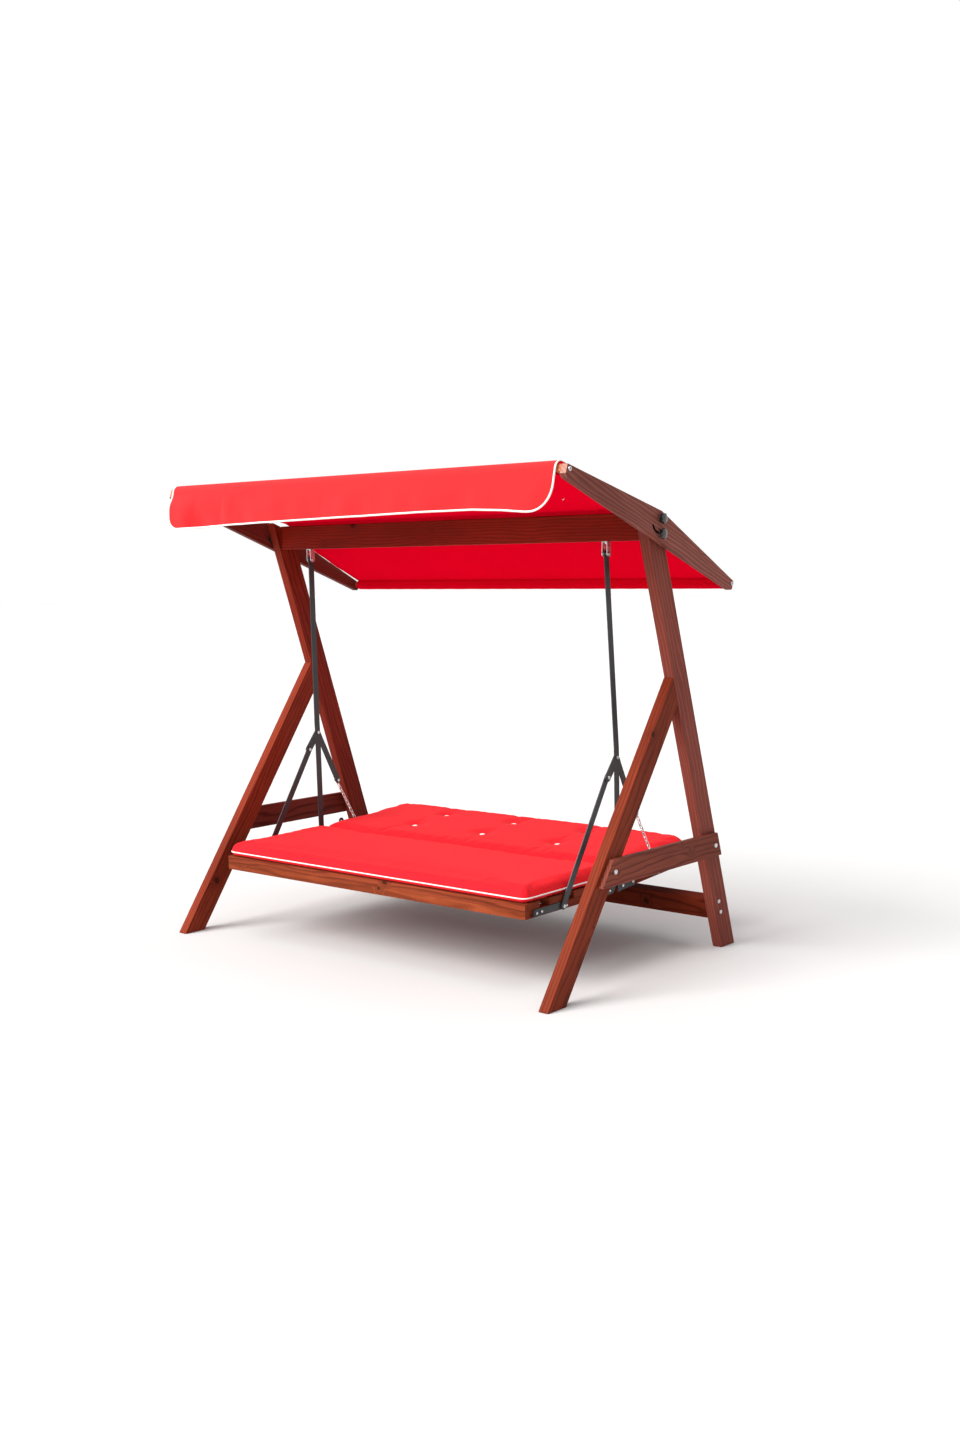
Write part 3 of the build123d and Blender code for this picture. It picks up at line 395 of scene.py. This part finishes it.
def tube(name, points, radius, mat, closed=False, res=10):
    """A round cord of cloth or wire along points, as a mesh with its own flat coordinates."""
    p = np.asarray(points, float)
    n = len(p)
    rad = np.broadcast_to(np.asarray(radius, float), (n,))
    if closed:
        t = np.roll(p, -1, 0) - np.roll(p, 1, 0)
    else:
        t = np.gradient(p, axis=0)
    t /= np.linalg.norm(t, axis=1)[:, None]
    ref = np.array([0.0, 0.0, 1.0]) if abs(t[0, 2]) < 0.9 else np.array([1.0, 0.0, 0.0])
    a = np.cross(t[0], ref)
    a /= np.linalg.norm(a)
    frames = []
    for k in range(n):
        a = a - t[k] * (a @ t[k])
        a /= np.linalg.norm(a)
        frames.append((a.copy(), np.cross(t[k], a)))
    verts, uvs = [], []
    length = 0.0
    for k in range(n):
        if k:
            length += np.linalg.norm(p[k] - p[k - 1])
        for m in range(res):
            ang = 2 * math.pi * m / res
            verts.append(p[k] + rad[k] * (math.cos(ang) * frames[k][0] + math.sin(ang) * frames[k][1]))
            uvs.append((length, rad[k] * ang))
    faces = []
    for k in range(n if closed else n - 1):
        k2 = (k + 1) % n
        for m in range(res):
            m2 = (m + 1) % res
            faces.append((k * res + m, k * res + m2, k2 * res + m2, k2 * res + m))
    if not closed:
        faces.append(tuple(range(res))[::-1])
        faces.append(tuple((n - 1) * res + m for m in range(res)))
    return add_mesh(name, verts, faces, mat, uvs)


def resample(points, step, closed=False):
    p = np.asarray(points, float)
    if closed:
        p = np.vstack([p, p[:1]])
    d = np.r_[0, np.cumsum(np.linalg.norm(np.diff(p, axis=0), axis=1))]
    count = max(2, int(round(d[-1] / step)) + 1)
    s = np.linspace(0, d[-1], count)
    out = np.stack([np.interp(s, d, p[:, k]) for k in range(3)], 1)
    return out[:-1] if closed else out


def smooth_line(points, rounds=2, closed=False):
    p = np.asarray(points, float).copy()
    for _ in range(rounds):
        if closed:
            p = 0.5 * p + 0.25 * (np.roll(p, 1, 0) + np.roll(p, -1, 0))
        else:
            q = p.copy()
            q[1:-1] = 0.5 * p[1:-1] + 0.25 * (p[:-2] + p[2:])
            p = q
    return p


def sm(t):
    t = np.clip(t, 0, 1)
    return t * t * (3 - 2 * t)


# ------------------------------------------------------------------ canopy cloth
PIV = np.array([0.020, 1.797])
A20 = math.radians(20.2)
E1 = np.array([math.cos(A20), -math.sin(A20)])
E2 = np.array([math.sin(A20), math.cos(A20)])


def rail_pt(s, t):
    return PIV + s / 1000 * E1 + t / 1000 * E2


FC = rail_pt(-604, -48)
RC = rail_pt(589, -56)
VR = 0.0305           # the front edge turns round the crossbar at this radius
HALF = 1.044


def tangent_lines():
    """Cloth line from the rear sleeve over the beam to the front edge, in y and z."""
    top_r = 0.0395
    # straight run between two circles, both below the line: returns the two touching points
    def run(c1, r1, c2, r2):
        d = c2 - c1
        length = np.linalg.norm(d)
        base = math.atan2(d[1], d[0])
        turn = math.acos((r1 - r2) / length)
        a = base + turn if math.sin(base + turn) > 0 else base - turn
        n = np.array([math.cos(a), math.sin(a)])
        return c1 + r1 * n, c2 + r2 * n, a
    r1, p1, a1 = run(RC, 0.0195, PIV, top_r)
    p2, f1, a2 = run(PIV, top_r, FC, VR)
    pts, kinds = [], []
    for k in np.linspace(0, 1, 44):
        pts.append(r1 + (p1 - r1) * k)
        kinds.append(("rear", k))
    for a in np.linspace(a1, a2, 6)[1:-1]:
        pts.append(PIV + top_r * np.array([math.cos(a), math.sin(a)]))
        kinds.append(("top", 0))
    for k in np.linspace(0, 1, 44):
        pts.append(p2 + (f1 - p2) * k)
        kinds.append(("front", k))
    for a in np.linspace(a2, math.pi, 12)[1:]:
        pts.append(FC + VR * np.array([math.cos(a), math.sin(a)]))
        kinds.append(("turn", (a - a2) / (math.pi - a2)))
    return np.array(pts), kinds


line, kinds = tangent_lines()
seg = np.r_[0, np.cumsum(np.linalg.norm(np.diff(line, axis=0), axis=1))]
TOP_LEN = seg[-1]
nrm = np.zeros_like(line)
tan = np.gradient(line, axis=0)
tan /= np.linalg.norm(tan, axis=1)[:, None]
nrm[:, 0], nrm[:, 1] = tan[:, 1], -tan[:, 0]     # outward: up over the top, forward at the turn
nrm *= np.where((nrm @ np.array([0.0, 1.0]))[:, None] < -0.3, -1, 1)

# columns: extra lines at the notches beside the posts
xs = np.unique(np.round(np.r_[-HALF, -1.030, -1.016, -1.002, np.linspace(-0.985, 0.985, 118), 1.002, 1.016, 1.030, HALF], 5))
NX = len(xs)
s_of = (line - PIV) @ E1 * 1000                # mm along the rail, for the notch limits


def waves(x, v, seed, count, lo, hi):
    """Sum of soft sine folds with seeded phases."""
    rng = np.random.default_rng(seed)
    out = np.zeros_like(x + v)
    for _ in range(count):
        k = rng.uniform(lo, hi) * rng.choice([-1, 1])
        q = rng.uniform(-0.5, 0.5) * abs(k)
        out = out + np.sin(k * x + q * v + rng.uniform(0, 6.28)) / count
    return out


top_rows = []
for i, (p, n, (kind, k)) in enumerate(zip(line, nrm, kinds)):
    off = np.zeros(NX)
    if kind in ("rear", "front"):
        bow = math.sin(math.pi * k)
        # slack between crossbar and beam, and low diagonal folds that run from the corners
        off -= 0.0075 * bow * (1 - 0.35 * (xs / HALF) ** 2)
        v = seg[i]
        amp = 0.0040 * bow
        off += amp * waves(xs, np.full(NX, v) * 2.2, 11 if kind == "rear" else 12, 5, 7, 20)
        edge = np.exp(-(HALF - np.abs(xs)) / 0.10)
        off += 0.0016 * bow * edge * np.sin(42 * v + 3 * np.sign(xs))
        # gathers that fade away from the sleeves
        near = math.exp(-seg[i] / 0.10) if kind == "rear" else math.exp(-(1 - k) * 0.55 / 0.10)
        off += 0.0010 * near * waves(xs, np.zeros(NX), 13, 5, 30, 75)
        off -= 0.0055 * bow * np.exp(-((HALF - np.abs(xs)) / 0.05) ** 2)
        off = np.maximum(off, -0.0135)
    row = np.zeros((NX, 3))
    row[:, 0] = xs
    row[:, 1] = p[0] + n[0] * off
    row[:, 2] = p[1] + n[1] * off
    top_rows.append(row)
top_rows = np.array(top_rows)

# valance: cut with rounded lower corners, hangs from the front turn
DROP_ROWS = 22
zb_x = np.array([-1.046, -1.000, -0.672, -0.186, 0.202, 0.410, 0.657, 0.799, 0.914, 1.046])
zb_z = np.array([1.806, 1.805, 1.8155, 1.8235, 1.829, 1.832, 1.8325, 1.826, 1.817, 1.815])
Z0 = float(line[-1][1])
Y0 = float(line[-1][0])


def valance_point(x0, b, radii=(0.045, 0.100)):
    """x0 from the column, b from 0 at the top to 1 at the lower edge."""
    zlow = np.interp(x0, zb_x, zb_z)
    drop = Z0 - zlow
    r = radii[0] if x0 < 0 else radii[1]
    x, z = x0, Z0 - b * drop
    cx, cz = HALF - r, r
    ax, az = abs(x0) - cx, (zlow + cz) - z
    if ax > 0 and az > 0:
        u, w = ax / r, az / r
        x = math.copysign(cx + r * u * math.sqrt(1 - w * w / 2), x0)
        z = zlow + cz - r * w * math.sqrt(1 - u * u / 2)
    low = (Z0 - z)
    if x0 > 0:          # the right end is cut slightly inward
        x -= 0.17 * max(0.0, low) * sm((x0 - 0.80) / 0.244)
    return x, z, low


val_rows = []
rng = np.random.default_rng(5)
for k in range(1, DROP_ROWS + 1):
    b = (k / DROP_ROWS)
    row = []
    for x0 in xs:
        x, z, low = valance_point(x0, b)
        g = sm(low / 0.11)
        leftness = sm((-x0 - 0.45) / 0.5)
        y = Y0
        fold = (0.0050 + 0.0080 * leftness) * g
        lean = 9.0 * low
        y -= fold * (math.sin(x0 * 27.0 + 0.8 + lean) * 0.45 + math.sin(x0 * 46.0 + 2.1 - lean) * 0.28
                     + math.sin(x0 * 13.0 + 1.0 + 1.4 * math.sin(x0 * 3.1) + lean) * 0.55)
        # one sharper crease low on the left and a soft one beside it
        for cx, wd, dp in ((-0.735, 0.012, 0.0055), (-0.66, 0.020, 0.0035), (-0.90, 0.014, 0.0040), (-0.12, 0.016, 0.0022)):
            y += dp * math.exp(-((x0 - cx + 0.25 * (low - 0.08)) / wd) ** 2) * sm(low / 0.09)
        y -= 0.0035 * math.sin(math.pi * min(1.0, low / 0.16))
        # the left end swings forward, the right end lies back
        y -= 0.027 * sm((-x0 - 0.86) / 0.19) * sm(low / 0.07)
        y += 0.004 * sm((x0 - 0.80) / 0.24) * g
        row.append((x, y, z))
    val_rows.append(row)
val_rows = np.array(val_rows)
full = np.concatenate([top_rows, val_rows])
NR = len(full)
ROW_TURN = len(top_rows)


def notch_row(i):
    return i < ROW_TURN - 12 and -85 < s_of[i] < 100


notch_rows = [i for i in range(ROW_TURN) if notch_row(i)]
i0, i1 = notch_rows[0], notch_rows[-1]


def keep(i, j):
    xc = abs(xs[j] + xs[j + 1]) / 2
    return not (i0 <= i < i1 and xc > 1.002)


lens = np.r_[0, np.cumsum(np.linalg.norm(np.diff(full[:, NX // 2], axis=0), axis=1))]
uv = np.stack([np.repeat(full[:, :, 0:1], 1, 2)[:, :, 0], np.repeat(lens[:, None], NX, 1)], 2).reshape(-1, 2)
cloth_faces = grid_faces(NR, NX, keep)
used = sorted({v for f in cloth_faces for v in f})
index = {v: k for k, v in enumerate(used)}
verts = full.reshape(-1, 3)[used]
faces = [tuple(index[v] for v in f) for f in cloth_faces]
canopy = add_mesh("canopy_cloth", verts, faces, M_CANOPY_PAINTED_SHEEN, uv[used])
bpy.context.view_layer.objects.active = canopy


def apply_modifiers(ob):
    dg = bpy.context.evaluated_depsgraph_get()
    me = bpy.data.meshes.new_from_object(ob.evaluated_get(dg), preserve_all_data_layers=True, depsgraph=dg)
    old = ob.data
    ob.modifiers.clear()
    ob.data = me
    bpy.data.meshes.remove(old)


sub = canopy.modifiers.new("sub", "SUBSURF")
sub.levels = sub.render_levels = 1
sub.boundary_smooth = "PRESERVE_CORNERS"
sol = canopy.modifiers.new("thick", "SOLIDIFY")
sol.thickness = 0.0014
sol.offset = 0.0
apply_modifiers(canopy)
# the side that looks down or back is the inner side of the cloth; it takes the deeper red copy, while the outer side
# keeps the copy with the painted highlight lift
canopy.data.materials.append(M_UNDER)
for poly in canopy.data.polygons:
    c, q = poly.center, poly.normal
    inner = q.z < -0.2 if c.z > 1.99 or c.y > -0.55 else (q.y > 0.2 or q.z < -0.6)
    if inner:
        poly.material_index = 1

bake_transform(canopy)
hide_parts("canopy_fabric", "valance")

# outline of the cloth for the piping: valance ends and lower edge, then both side edges to the rear
left_edge, right_edge = [], []
for i in range(ROW_TURN):
    inside = i0 <= i <= i1
    if inside:
        jl, jr = int(np.argmin(abs(xs + 1.002))), int(np.argmin(abs(xs - 1.002)))
        if i == i0:
            left_edge.append(full[i, 0])
            right_edge.append(full[i, -1])
        left_edge.append(full[i, jl])
        right_edge.append(full[i, jr])
        if i == i1:
            left_edge.append(full[i, 0])
            right_edge.append(full[i, -1])
    else:
        left_edge.append(full[i, 0])
        right_edge.append(full[i, -1])
left_edge = np.array(left_edge)
right_edge = np.array(right_edge)
hem = np.concatenate([left_edge, full[ROW_TURN:, 0], full[-1, 1:-1], full[ROW_TURN:, -1][::-1], right_edge[::-1]])
hem_line = resample(hem, 0.006)
hem_line = smooth_line(hem_line, 3)
radius = np.where(hem_line[:, 1] < -0.575, 0.0039, 0.0017)
radius = smooth_line(np.repeat(radius[:, None], 3, 1), 6)[:, 0]
piping = tube("canopy_piping", hem_line, radius, M_PIPING, res=8)
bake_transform(piping)


# sleeves round the two crossbars, in a darker copy of the cloth that paints their shade
def sleeve(name, centre, half_bar, thick, wide, mat, body, puff):
    corners = []
    n = 40
    for k in range(n):
        a = 2 * math.pi * k / n
        c, s = math.cos(a), math.sin(a)
        p = 5.0
        r = (half_bar + thick) / (abs(c) ** p + abs(s) ** p) ** (1 / p)
        corners.append((r * c, r * s))
    cols = np.linspace(-wide, wide, 90)
    verts, uvs = [], []
    for x in cols:
        for k, (a, b) in enumerate(corners):
            w = 1 + puff * math.sin(x * 61 + 2 * math.sin(x * 9) + k * 0.35)
            p = centre + (a * w) * E1 + (b * w) * E2
            verts.append((x, p[0], p[1]))
            uvs.append((x, k * 0.003))
    faces = []
    for i in range(len(cols) - 1):
        for k in range(n):
            k2 = (k + 1) % n
            faces.append((i * n + k, i * n + k2, (i + 1) * n + k2, (i + 1) * n + k))
    ob = add_mesh(name, verts, faces, mat, uvs)
    m = ob.modifiers.new("thick", "SOLIDIFY")
    m.thickness = 0.0012
    m.offset = 1.0
    apply_modifiers(ob)
    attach(ob, body)
    return ob


front_sleeve = sleeve("canopy_front_sleeve", FC, 0.014, 0.0022, 1.038, M_HEM_PAINTED_SHADE, "canopy", 0.010)
rear_sleeve = sleeve("canopy_rear_sleeve", RC, 0.014, 0.0036, 1.042, M_HEM_PAINTED_SHADE, "canopy", 0.014)

# a short white stitch on the under side near the front right corner
i_b = int(np.argmin(np.abs(full[:ROW_TURN, NX // 2, 1] + 0.143)))
under = full[i_b, int(np.argmin(np.abs(xs - 0.755)))]
slope = (full[i_b + 1, NX // 2] - full[i_b - 1, NX // 2])
slope /= np.linalg.norm(slope)
across = np.array([0.80, 0.0, 0.0]) + slope * 0.60
across /= np.linalg.norm(across)
thin = np.cross(across, np.cross(slope, across))
thin = np.cross(np.array([1.0, 0, 0]), slope)
thin /= np.linalg.norm(thin)
if thin[2] > 0:
    thin = -thin
wide = np.cross(thin, across)
cen = under + thin * 0.0016
tv = [cen + across * a * 0.012 + wide * b * 0.0016 + thin * c * 0.0007
      for a in (-1, 1) for b in (-1, 1) for c in (-1, 1)]
tf = [(0, 1, 3, 2), (4, 6, 7, 5), (0, 4, 5, 1), (2, 3, 7, 6), (0, 2, 6, 4), (1, 5, 7, 3)]
tack = add_mesh("canopy_bartack", tv, tf, M_PIPING, [(float(v[0]), float(v[1])) for v in tv], smooth=False)
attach(tack, "canopy")

# ------------------------------------------------------------------ folding mattress
P0 = np.array([0.062, 0.356])
AB = math.radians(3.7)
HW, V0, V1 = 0.842, -0.592, 0.584
TOP, SEAM, BASE = 0.0605, 0.0215, 0.002
R_FRONT, R_REAR = 0.030, 0.085
BUTTONS = [(x, v) for x in (-0.440, -0.025, 0.390) for v in (0.212, 0.446)]


def lines_between(lo, hi, step):
    edge = [0, 0.003, 0.007, 0.012, 0.018, 0.026, 0.036]
    n = int(round((hi - lo - 0.072) / step))
    inner = np.linspace(lo + 0.036, hi - 0.036, n + 1)[1:-1]
    return np.r_[lo + np.array(edge), inner, (hi - np.array(edge))[::-1]]


mx = lines_between(-HW, HW, 0.0125)
mv = lines_between(V0, V1, 0.0115)


def plan(x, v):
    """Rounded corners in plan; returns the moved point and its distance from the outline."""
    r = R_REAR if v > 0 else R_FRONT
    cx = HW - r
    cv = (V1 - r) if v > 0 else (V0 + r)
    ax = (abs(x) - cx) / r
    av = ((v - cv) if v > 0 else (cv - v)) / r
    if ax > 0 and av > 0:
        u = ax * math.sqrt(1 - av * av / 2)
        w = av * math.sqrt(1 - ax * ax / 2)
        rho = min(1.0, math.hypot(u, w))
        x = math.copysign(cx + r * u, x)
        v = cv + (r * w if v > 0 else -r * w)
        return x, v, r * (1 - rho)
    return x, v, min(HW - abs(x), V1 - v, v - V0)


def to_frame(x, v, h):
    """Flat pad coordinates to the row frame: the part behind the hinge lies at the back's incline."""
    if v <= 0:
        return (x, P0[0] + v, P0[1] + h)
    k = float(sm(v / 0.02))
    a = AB * k
    return (x, P0[0] + v * math.cos(a) - h * math.sin(a), P0[1] + v * math.sin(a) + h * math.cos(a))


def roll(d, r):
    t = min(1.0, max(0.0, d / r))
    return (1 - (1 - t) ** 2.1) ** (1 / 2.1)


def pad_top(x, v, d):
    top = TOP + 0.0015 * math.sin(math.pi * min(1, max(0, (v - V0) / (V1 - V0))))
    h = SEAM + (top - SEAM) * roll(d, 0.034)
    h -= 0.015 * math.exp(-(v / 0.010) ** 2) + 0.007 * math.exp(-(v / 0.035) ** 2)
    return h


def pad_low(d):
    return SEAM - (SEAM - BASE) * roll(d, 0.026)


NV, NM = len(mv), len(mx)
flat_pts, dist = np.zeros((NV, NM, 2)), np.zeros((NV, NM))
for i, v in enumerate(mv):
    for j, x in enumerate(mx):
        a, b, d = plan(x, v)
        flat_pts[i, j] = (a, b)
        dist[i, j] = d
top_v, low_v = [], []
ids = -np.ones((2, NV, NM), int)
verts, uvs, pins = [], [], []
for i in range(NV):
    for j in range(NM):
        border = i in (0, NV - 1) or j in (0, NM - 1)
        x, v = flat_pts[i, j]
        d = dist[i, j]
        ids[0, i, j] = len(verts)
        verts.append(to_frame(x, v, pad_top(x, v, d)))
        uvs.append((x, v))
        bd = min(math.hypot(x - bx, v - bv) for bx, bv in BUTTONS)
        pins.append(1.0 if border else (1.0 if bd < 0.013 else 0.0))
        if border:
            ids[1, i, j] = ids[0, i, j]
for i in range(NV):
    for j in range(NM):
        if ids[1, i, j] < 0:
            x, v = flat_pts[i, j]
            ids[1, i, j] = len(verts)
            verts.append(to_frame(x, v, pad_low(dist[i, j])))
            uvs.append((x, v + 2.0))
            pins.append(1.0)
faces = []
for i in range(NV - 1):
    for j in range(NM - 1):
        faces.append((ids[0, i, j], ids[0, i, j + 1], ids[0, i + 1, j + 1], ids[0, i + 1, j]))
        faces.append((ids[1, i, j], ids[1, i + 1, j], ids[1, i + 1, j + 1], ids[1, i, j + 1]))
pad = add_mesh("mattress", verts, faces, M_CUSHION, uvs)
verts = np.array(verts)
pins = np.array(pins)
# the fold seam is held down as well
for i in range(NV):
    for j in range(NM):
        if abs(flat_pts[i, j, 1]) < 0.010:
            pins[ids[0, i, j]] = 1.0


def inflate(ob, start, held, pressure, frames, cap, drop):
    """Blows the cover up against its seams and buttons, then keeps at most cap metres of each point's travel."""
    base = start.copy()
    # buttons and seams pull the cover in before it is blown up
    work = base.copy()
    for k, dz in drop.items():
        work[k, 2] -= dz
    ob.data.vertices.foreach_set("co", work.astype(np.float32).ravel())
    group = ob.vertex_groups.new(name="held")
    for k in np.flatnonzero(held > 0):
        group.add([int(k)], 1.0, "REPLACE")
    mod = ob.modifiers.new("cloth", "CLOTH")
    st = mod.settings
    st.quality = 5
    st.mass = 0.25
    st.tension_stiffness = st.compression_stiffness = 18
    st.shear_stiffness = 8
    st.bending_stiffness = 0.25
    st.use_pressure = True
    st.uniform_pressure_force = pressure
    st.shrink_min = st.shrink_max = -0.012
    st.vertex_group_mass = "held"
    st.pin_stiffness = 1.0
    st.effector_weights.gravity = 0.0
    mod.collision_settings.use_collision = False
    mod.collision_settings.use_self_collision = False
    mod.point_cache.frame_start = 1
    mod.point_cache.frame_end = frames
    for f in range(1, frames + 1):
        scene.frame_set(f)
    dg = bpy.context.evaluated_depsgraph_get()
    me = ob.evaluated_get(dg).to_mesh()
    out = np.zeros(len(me.vertices) * 3, np.float32)
    me.vertices.foreach_get("co", out)
    out = out.reshape(-1, 3).astype(float)
    ob.evaluated_get(dg).to_mesh_clear()
    ob.modifiers.remove(mod)
    ob.vertex_groups.clear()
    move = out - work
    size = np.linalg.norm(move, axis=1)
    move *= np.minimum(1.0, cap / np.maximum(size, 1e-9))[:, None]
    ob.data.vertices.foreach_set("co", (work + move).astype(np.float32).ravel())
    ob.data.update()
    scene.frame_set(1)
    return work + move


drop = {}
for i in range(NV):
    for j in range(NM):
        x, v = flat_pts[i, j]
        if min(dist[i, j], 1) <= 0:
            continue
        dz = 0.0
        for b, (bx, bv) in enumerate(BUTTONS):
            r = math.hypot(x - bx, v - bv)
            if r < 0.16:
                ang = math.atan2(v - bv, x - bx)
                dz += 0.0125 * math.exp(-(r / 0.020) ** 2) + 0.0035 * math.exp(-(r / 0.055) ** 2)
                dz += 0.0014 * math.cos(7 * ang + 1.7 * b + 0.8 * math.sin(2 * ang)) * (r / 0.035) * math.exp(-(r / 0.048) ** 2)
        # puckers along the piping
        d = dist[i, j]
        if d < 0.09:
            along = x if min(V1 - v, v - V0) < HW - abs(x) else v
            dz += 0.0011 * math.sin(along * 118 + 1.3 * math.sin(along * 17)) * math.exp(-d / 0.028) * sm(d / 0.012)
        # short folds that run out of the fold seam
        if abs(v) < 0.12:
            dz += 0.0005 * math.sin(x * 88 + 1.6 * math.sin(x * 13)) * math.exp(-abs(v) / 0.035) * sm(abs(v) / 0.012)
        if abs(dz) > 1e-6:
            drop[int(ids[0, i, j])] = float(dz)

shape = inflate(pad, verts, pins, 2.2, 16, 0.006, drop)

sub = pad.modifiers.new("sub", "SUBSURF")
sub.levels = sub.render_levels = 1
apply_modifiers(pad)
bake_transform(pad)
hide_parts("seat_cushion", "back_cushion")

# piping round the pad at its side seam
loop = [ids[0, 0, j] for j in range(NM)] + [ids[0, i, NM - 1] for i in range(1, NV)] \
    + [ids[0, NV - 1, j] for j in range(NM - 2, -1, -1)] + [ids[0, i, 0] for i in range(NV - 2, 0, -1)]
ring = shape[loop]
centre = ring.mean(0)
ring = resample(ring, 0.007, closed=True)
ring = smooth_line(ring, 2, closed=True)
t = np.roll(ring, -1, 0) - np.roll(ring, 1, 0)
out = np.stack([t[:, 1], -t[:, 0], np.zeros(len(t))], 1)
out /= np.linalg.norm(out, axis=1)[:, None]
if ((ring - centre) * out).sum() < 0:
    out = -out
pad_piping = tube("mattress_piping", ring + out * 0.0008, 0.0027, M_PIPING, closed=True, res=10)
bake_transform(pad_piping)


# buttons: turned discs with a raised rim, sunk in their dimples
def button(name, x, v):
    prof = [(0.0, 0.0035), (0.004, 0.0036), (0.0068, 0.0042), (0.0088, 0.0056), (0.0102, 0.0060), (0.0113, 0.0052),
            (0.0117, 0.0036), (0.0112, 0.0016), (0.0096, 0.0), (0.0, 0.0)]
    k = min(range(len(drop_keys)), key=lambda q: (drop_xy[q][0] - x) ** 2 + (drop_xy[q][1] - v) ** 2)
    base = shape[drop_keys[k]]
    n = np.array([0.0, -math.sin(AB), math.cos(AB)])
    e1 = np.array([1.0, 0.0, 0.0])
    e2 = np.cross(n, e1)
    res = 28
    verts, faces, uvs = [], [], []
    for q, (r, h) in enumerate(prof):
        for m in range(res):
            a = 2 * math.pi * m / res
            verts.append(base + e1 * r * math.cos(a) + e2 * r * math.sin(a) + n * (h + 0.0012))
            uvs.append((r * math.cos(a), r * math.sin(a)))
    for q in range(len(prof) - 1):
        for m in range(res):
            m2 = (m + 1) % res
            faces.append((q * res + m, q * res + m2, (q + 1) * res + m2, (q + 1) * res + m))
    ob = add_mesh(name, verts, faces, M_BUTTON, uvs)
    bm = bmesh.new()
    bm.from_mesh(ob.data)
    bmesh.ops.remove_doubles(bm, verts=bm.verts, dist=1e-6)
    bmesh.ops.recalc_face_normals(bm, faces=bm.faces)
    bm.to_mesh(ob.data)
    bm.free()
    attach(ob, "back")
    return ob


drop_keys, drop_xy = [], []
for i in range(NV):
    for j in range(NM):
        drop_keys.append(int(ids[0, i, j]))
        drop_xy.append(tuple(flat_pts[i, j]))
made = [button("cushion_button_%d" % (k + 1), x, v) for k, (x, v) in enumerate(BUTTONS)]
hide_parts("cushion_buttons")


# ------------------------------------------------------------------ floor and light
def plane(name, size, z, mat):
    v = [(-size, -size, z), (size, -size, z), (size, size, z), (-size, size, z)]
    ob = add_mesh(name, v, [(0, 1, 2, 3)], mat, smooth=False)
    return ob


FLOOR = Net("pale_floor")
tc = FLOOR.tree.nodes.new("ShaderNodeTexCoord").outputs["Object"]
fl = FLOOR.noise(tc, 0.8, 3)
FLOOR.put(FLOOR.bsdf.inputs["Base Color"], FLOOR.mix(FLOOR.remap(fl, 0.3, 0.7, 0, 1), rgb(0.62, 0.62, 0.62), rgb(0.61, 0.61, 0.61)))
FLOOR.bsdf.inputs["Roughness"].default_value = 0.95
FLOOR.bsdf.inputs["Specular IOR Level"].default_value = 0.05
plane("floor", 60, -0.001, FLOOR.mat)

# a white studio: bright low wall all round, dimmer ceiling, broad soft lamps high in front
world = bpy.data.worlds.new("studio")
scene.world = world
world.use_nodes = True
wt = world.node_tree
bg = wt.nodes["Background"]
geo = wt.nodes.new("ShaderNodeTexCoord")
sep = wt.nodes.new("ShaderNodeSeparateXYZ")
wt.links.new(geo.outputs["Generated"], sep.inputs[0])
ramp = wt.nodes.new("ShaderNodeMapRange")
ramp.interpolation_type = "SMOOTHSTEP"
for k, v in enumerate((math.sin(math.radians(20)), math.sin(math.radians(40)), 1.0, 0.30)):
    ramp.inputs[1 + k].default_value = v
wt.links.new(sep.outputs[2], ramp.inputs[0])
bg.inputs[0].default_value = (1.0, 1.0, 1.0, 1.0)
wt.links.new(ramp.outputs[0], bg.inputs[1])


def lamp(name, azimuth, elevation, strength, angle, color=(1, 1, 1)):
    """A broad far-off soft light; azimuth 0 is straight in front, positive to the +X side."""
    data = bpy.data.lights.new(name, "SUN")
    data.energy = strength
    data.angle = math.radians(angle)
    data.color = color
    ob = bpy.data.objects.new(name, data)
    scene.collection.objects.link(ob)
    az, el = math.radians(azimuth), math.radians(elevation)
    way = Vector((math.sin(az) * math.cos(el), -math.cos(az) * math.cos(el), math.sin(el)))
    ob.location = way * 8
    ob.rotation_euler = way.to_track_quat("Z", "Y").to_euler()
    return ob


lamp("key", -24, 36, 3.9, 38, (1.0, 0.985, 0.96))
lamp("front", -4, 24, 1.0, 50, (1.0, 0.99, 0.98))
lamp("top", 0, 84, 1.5, 60)

bpy.context.view_layer.update()
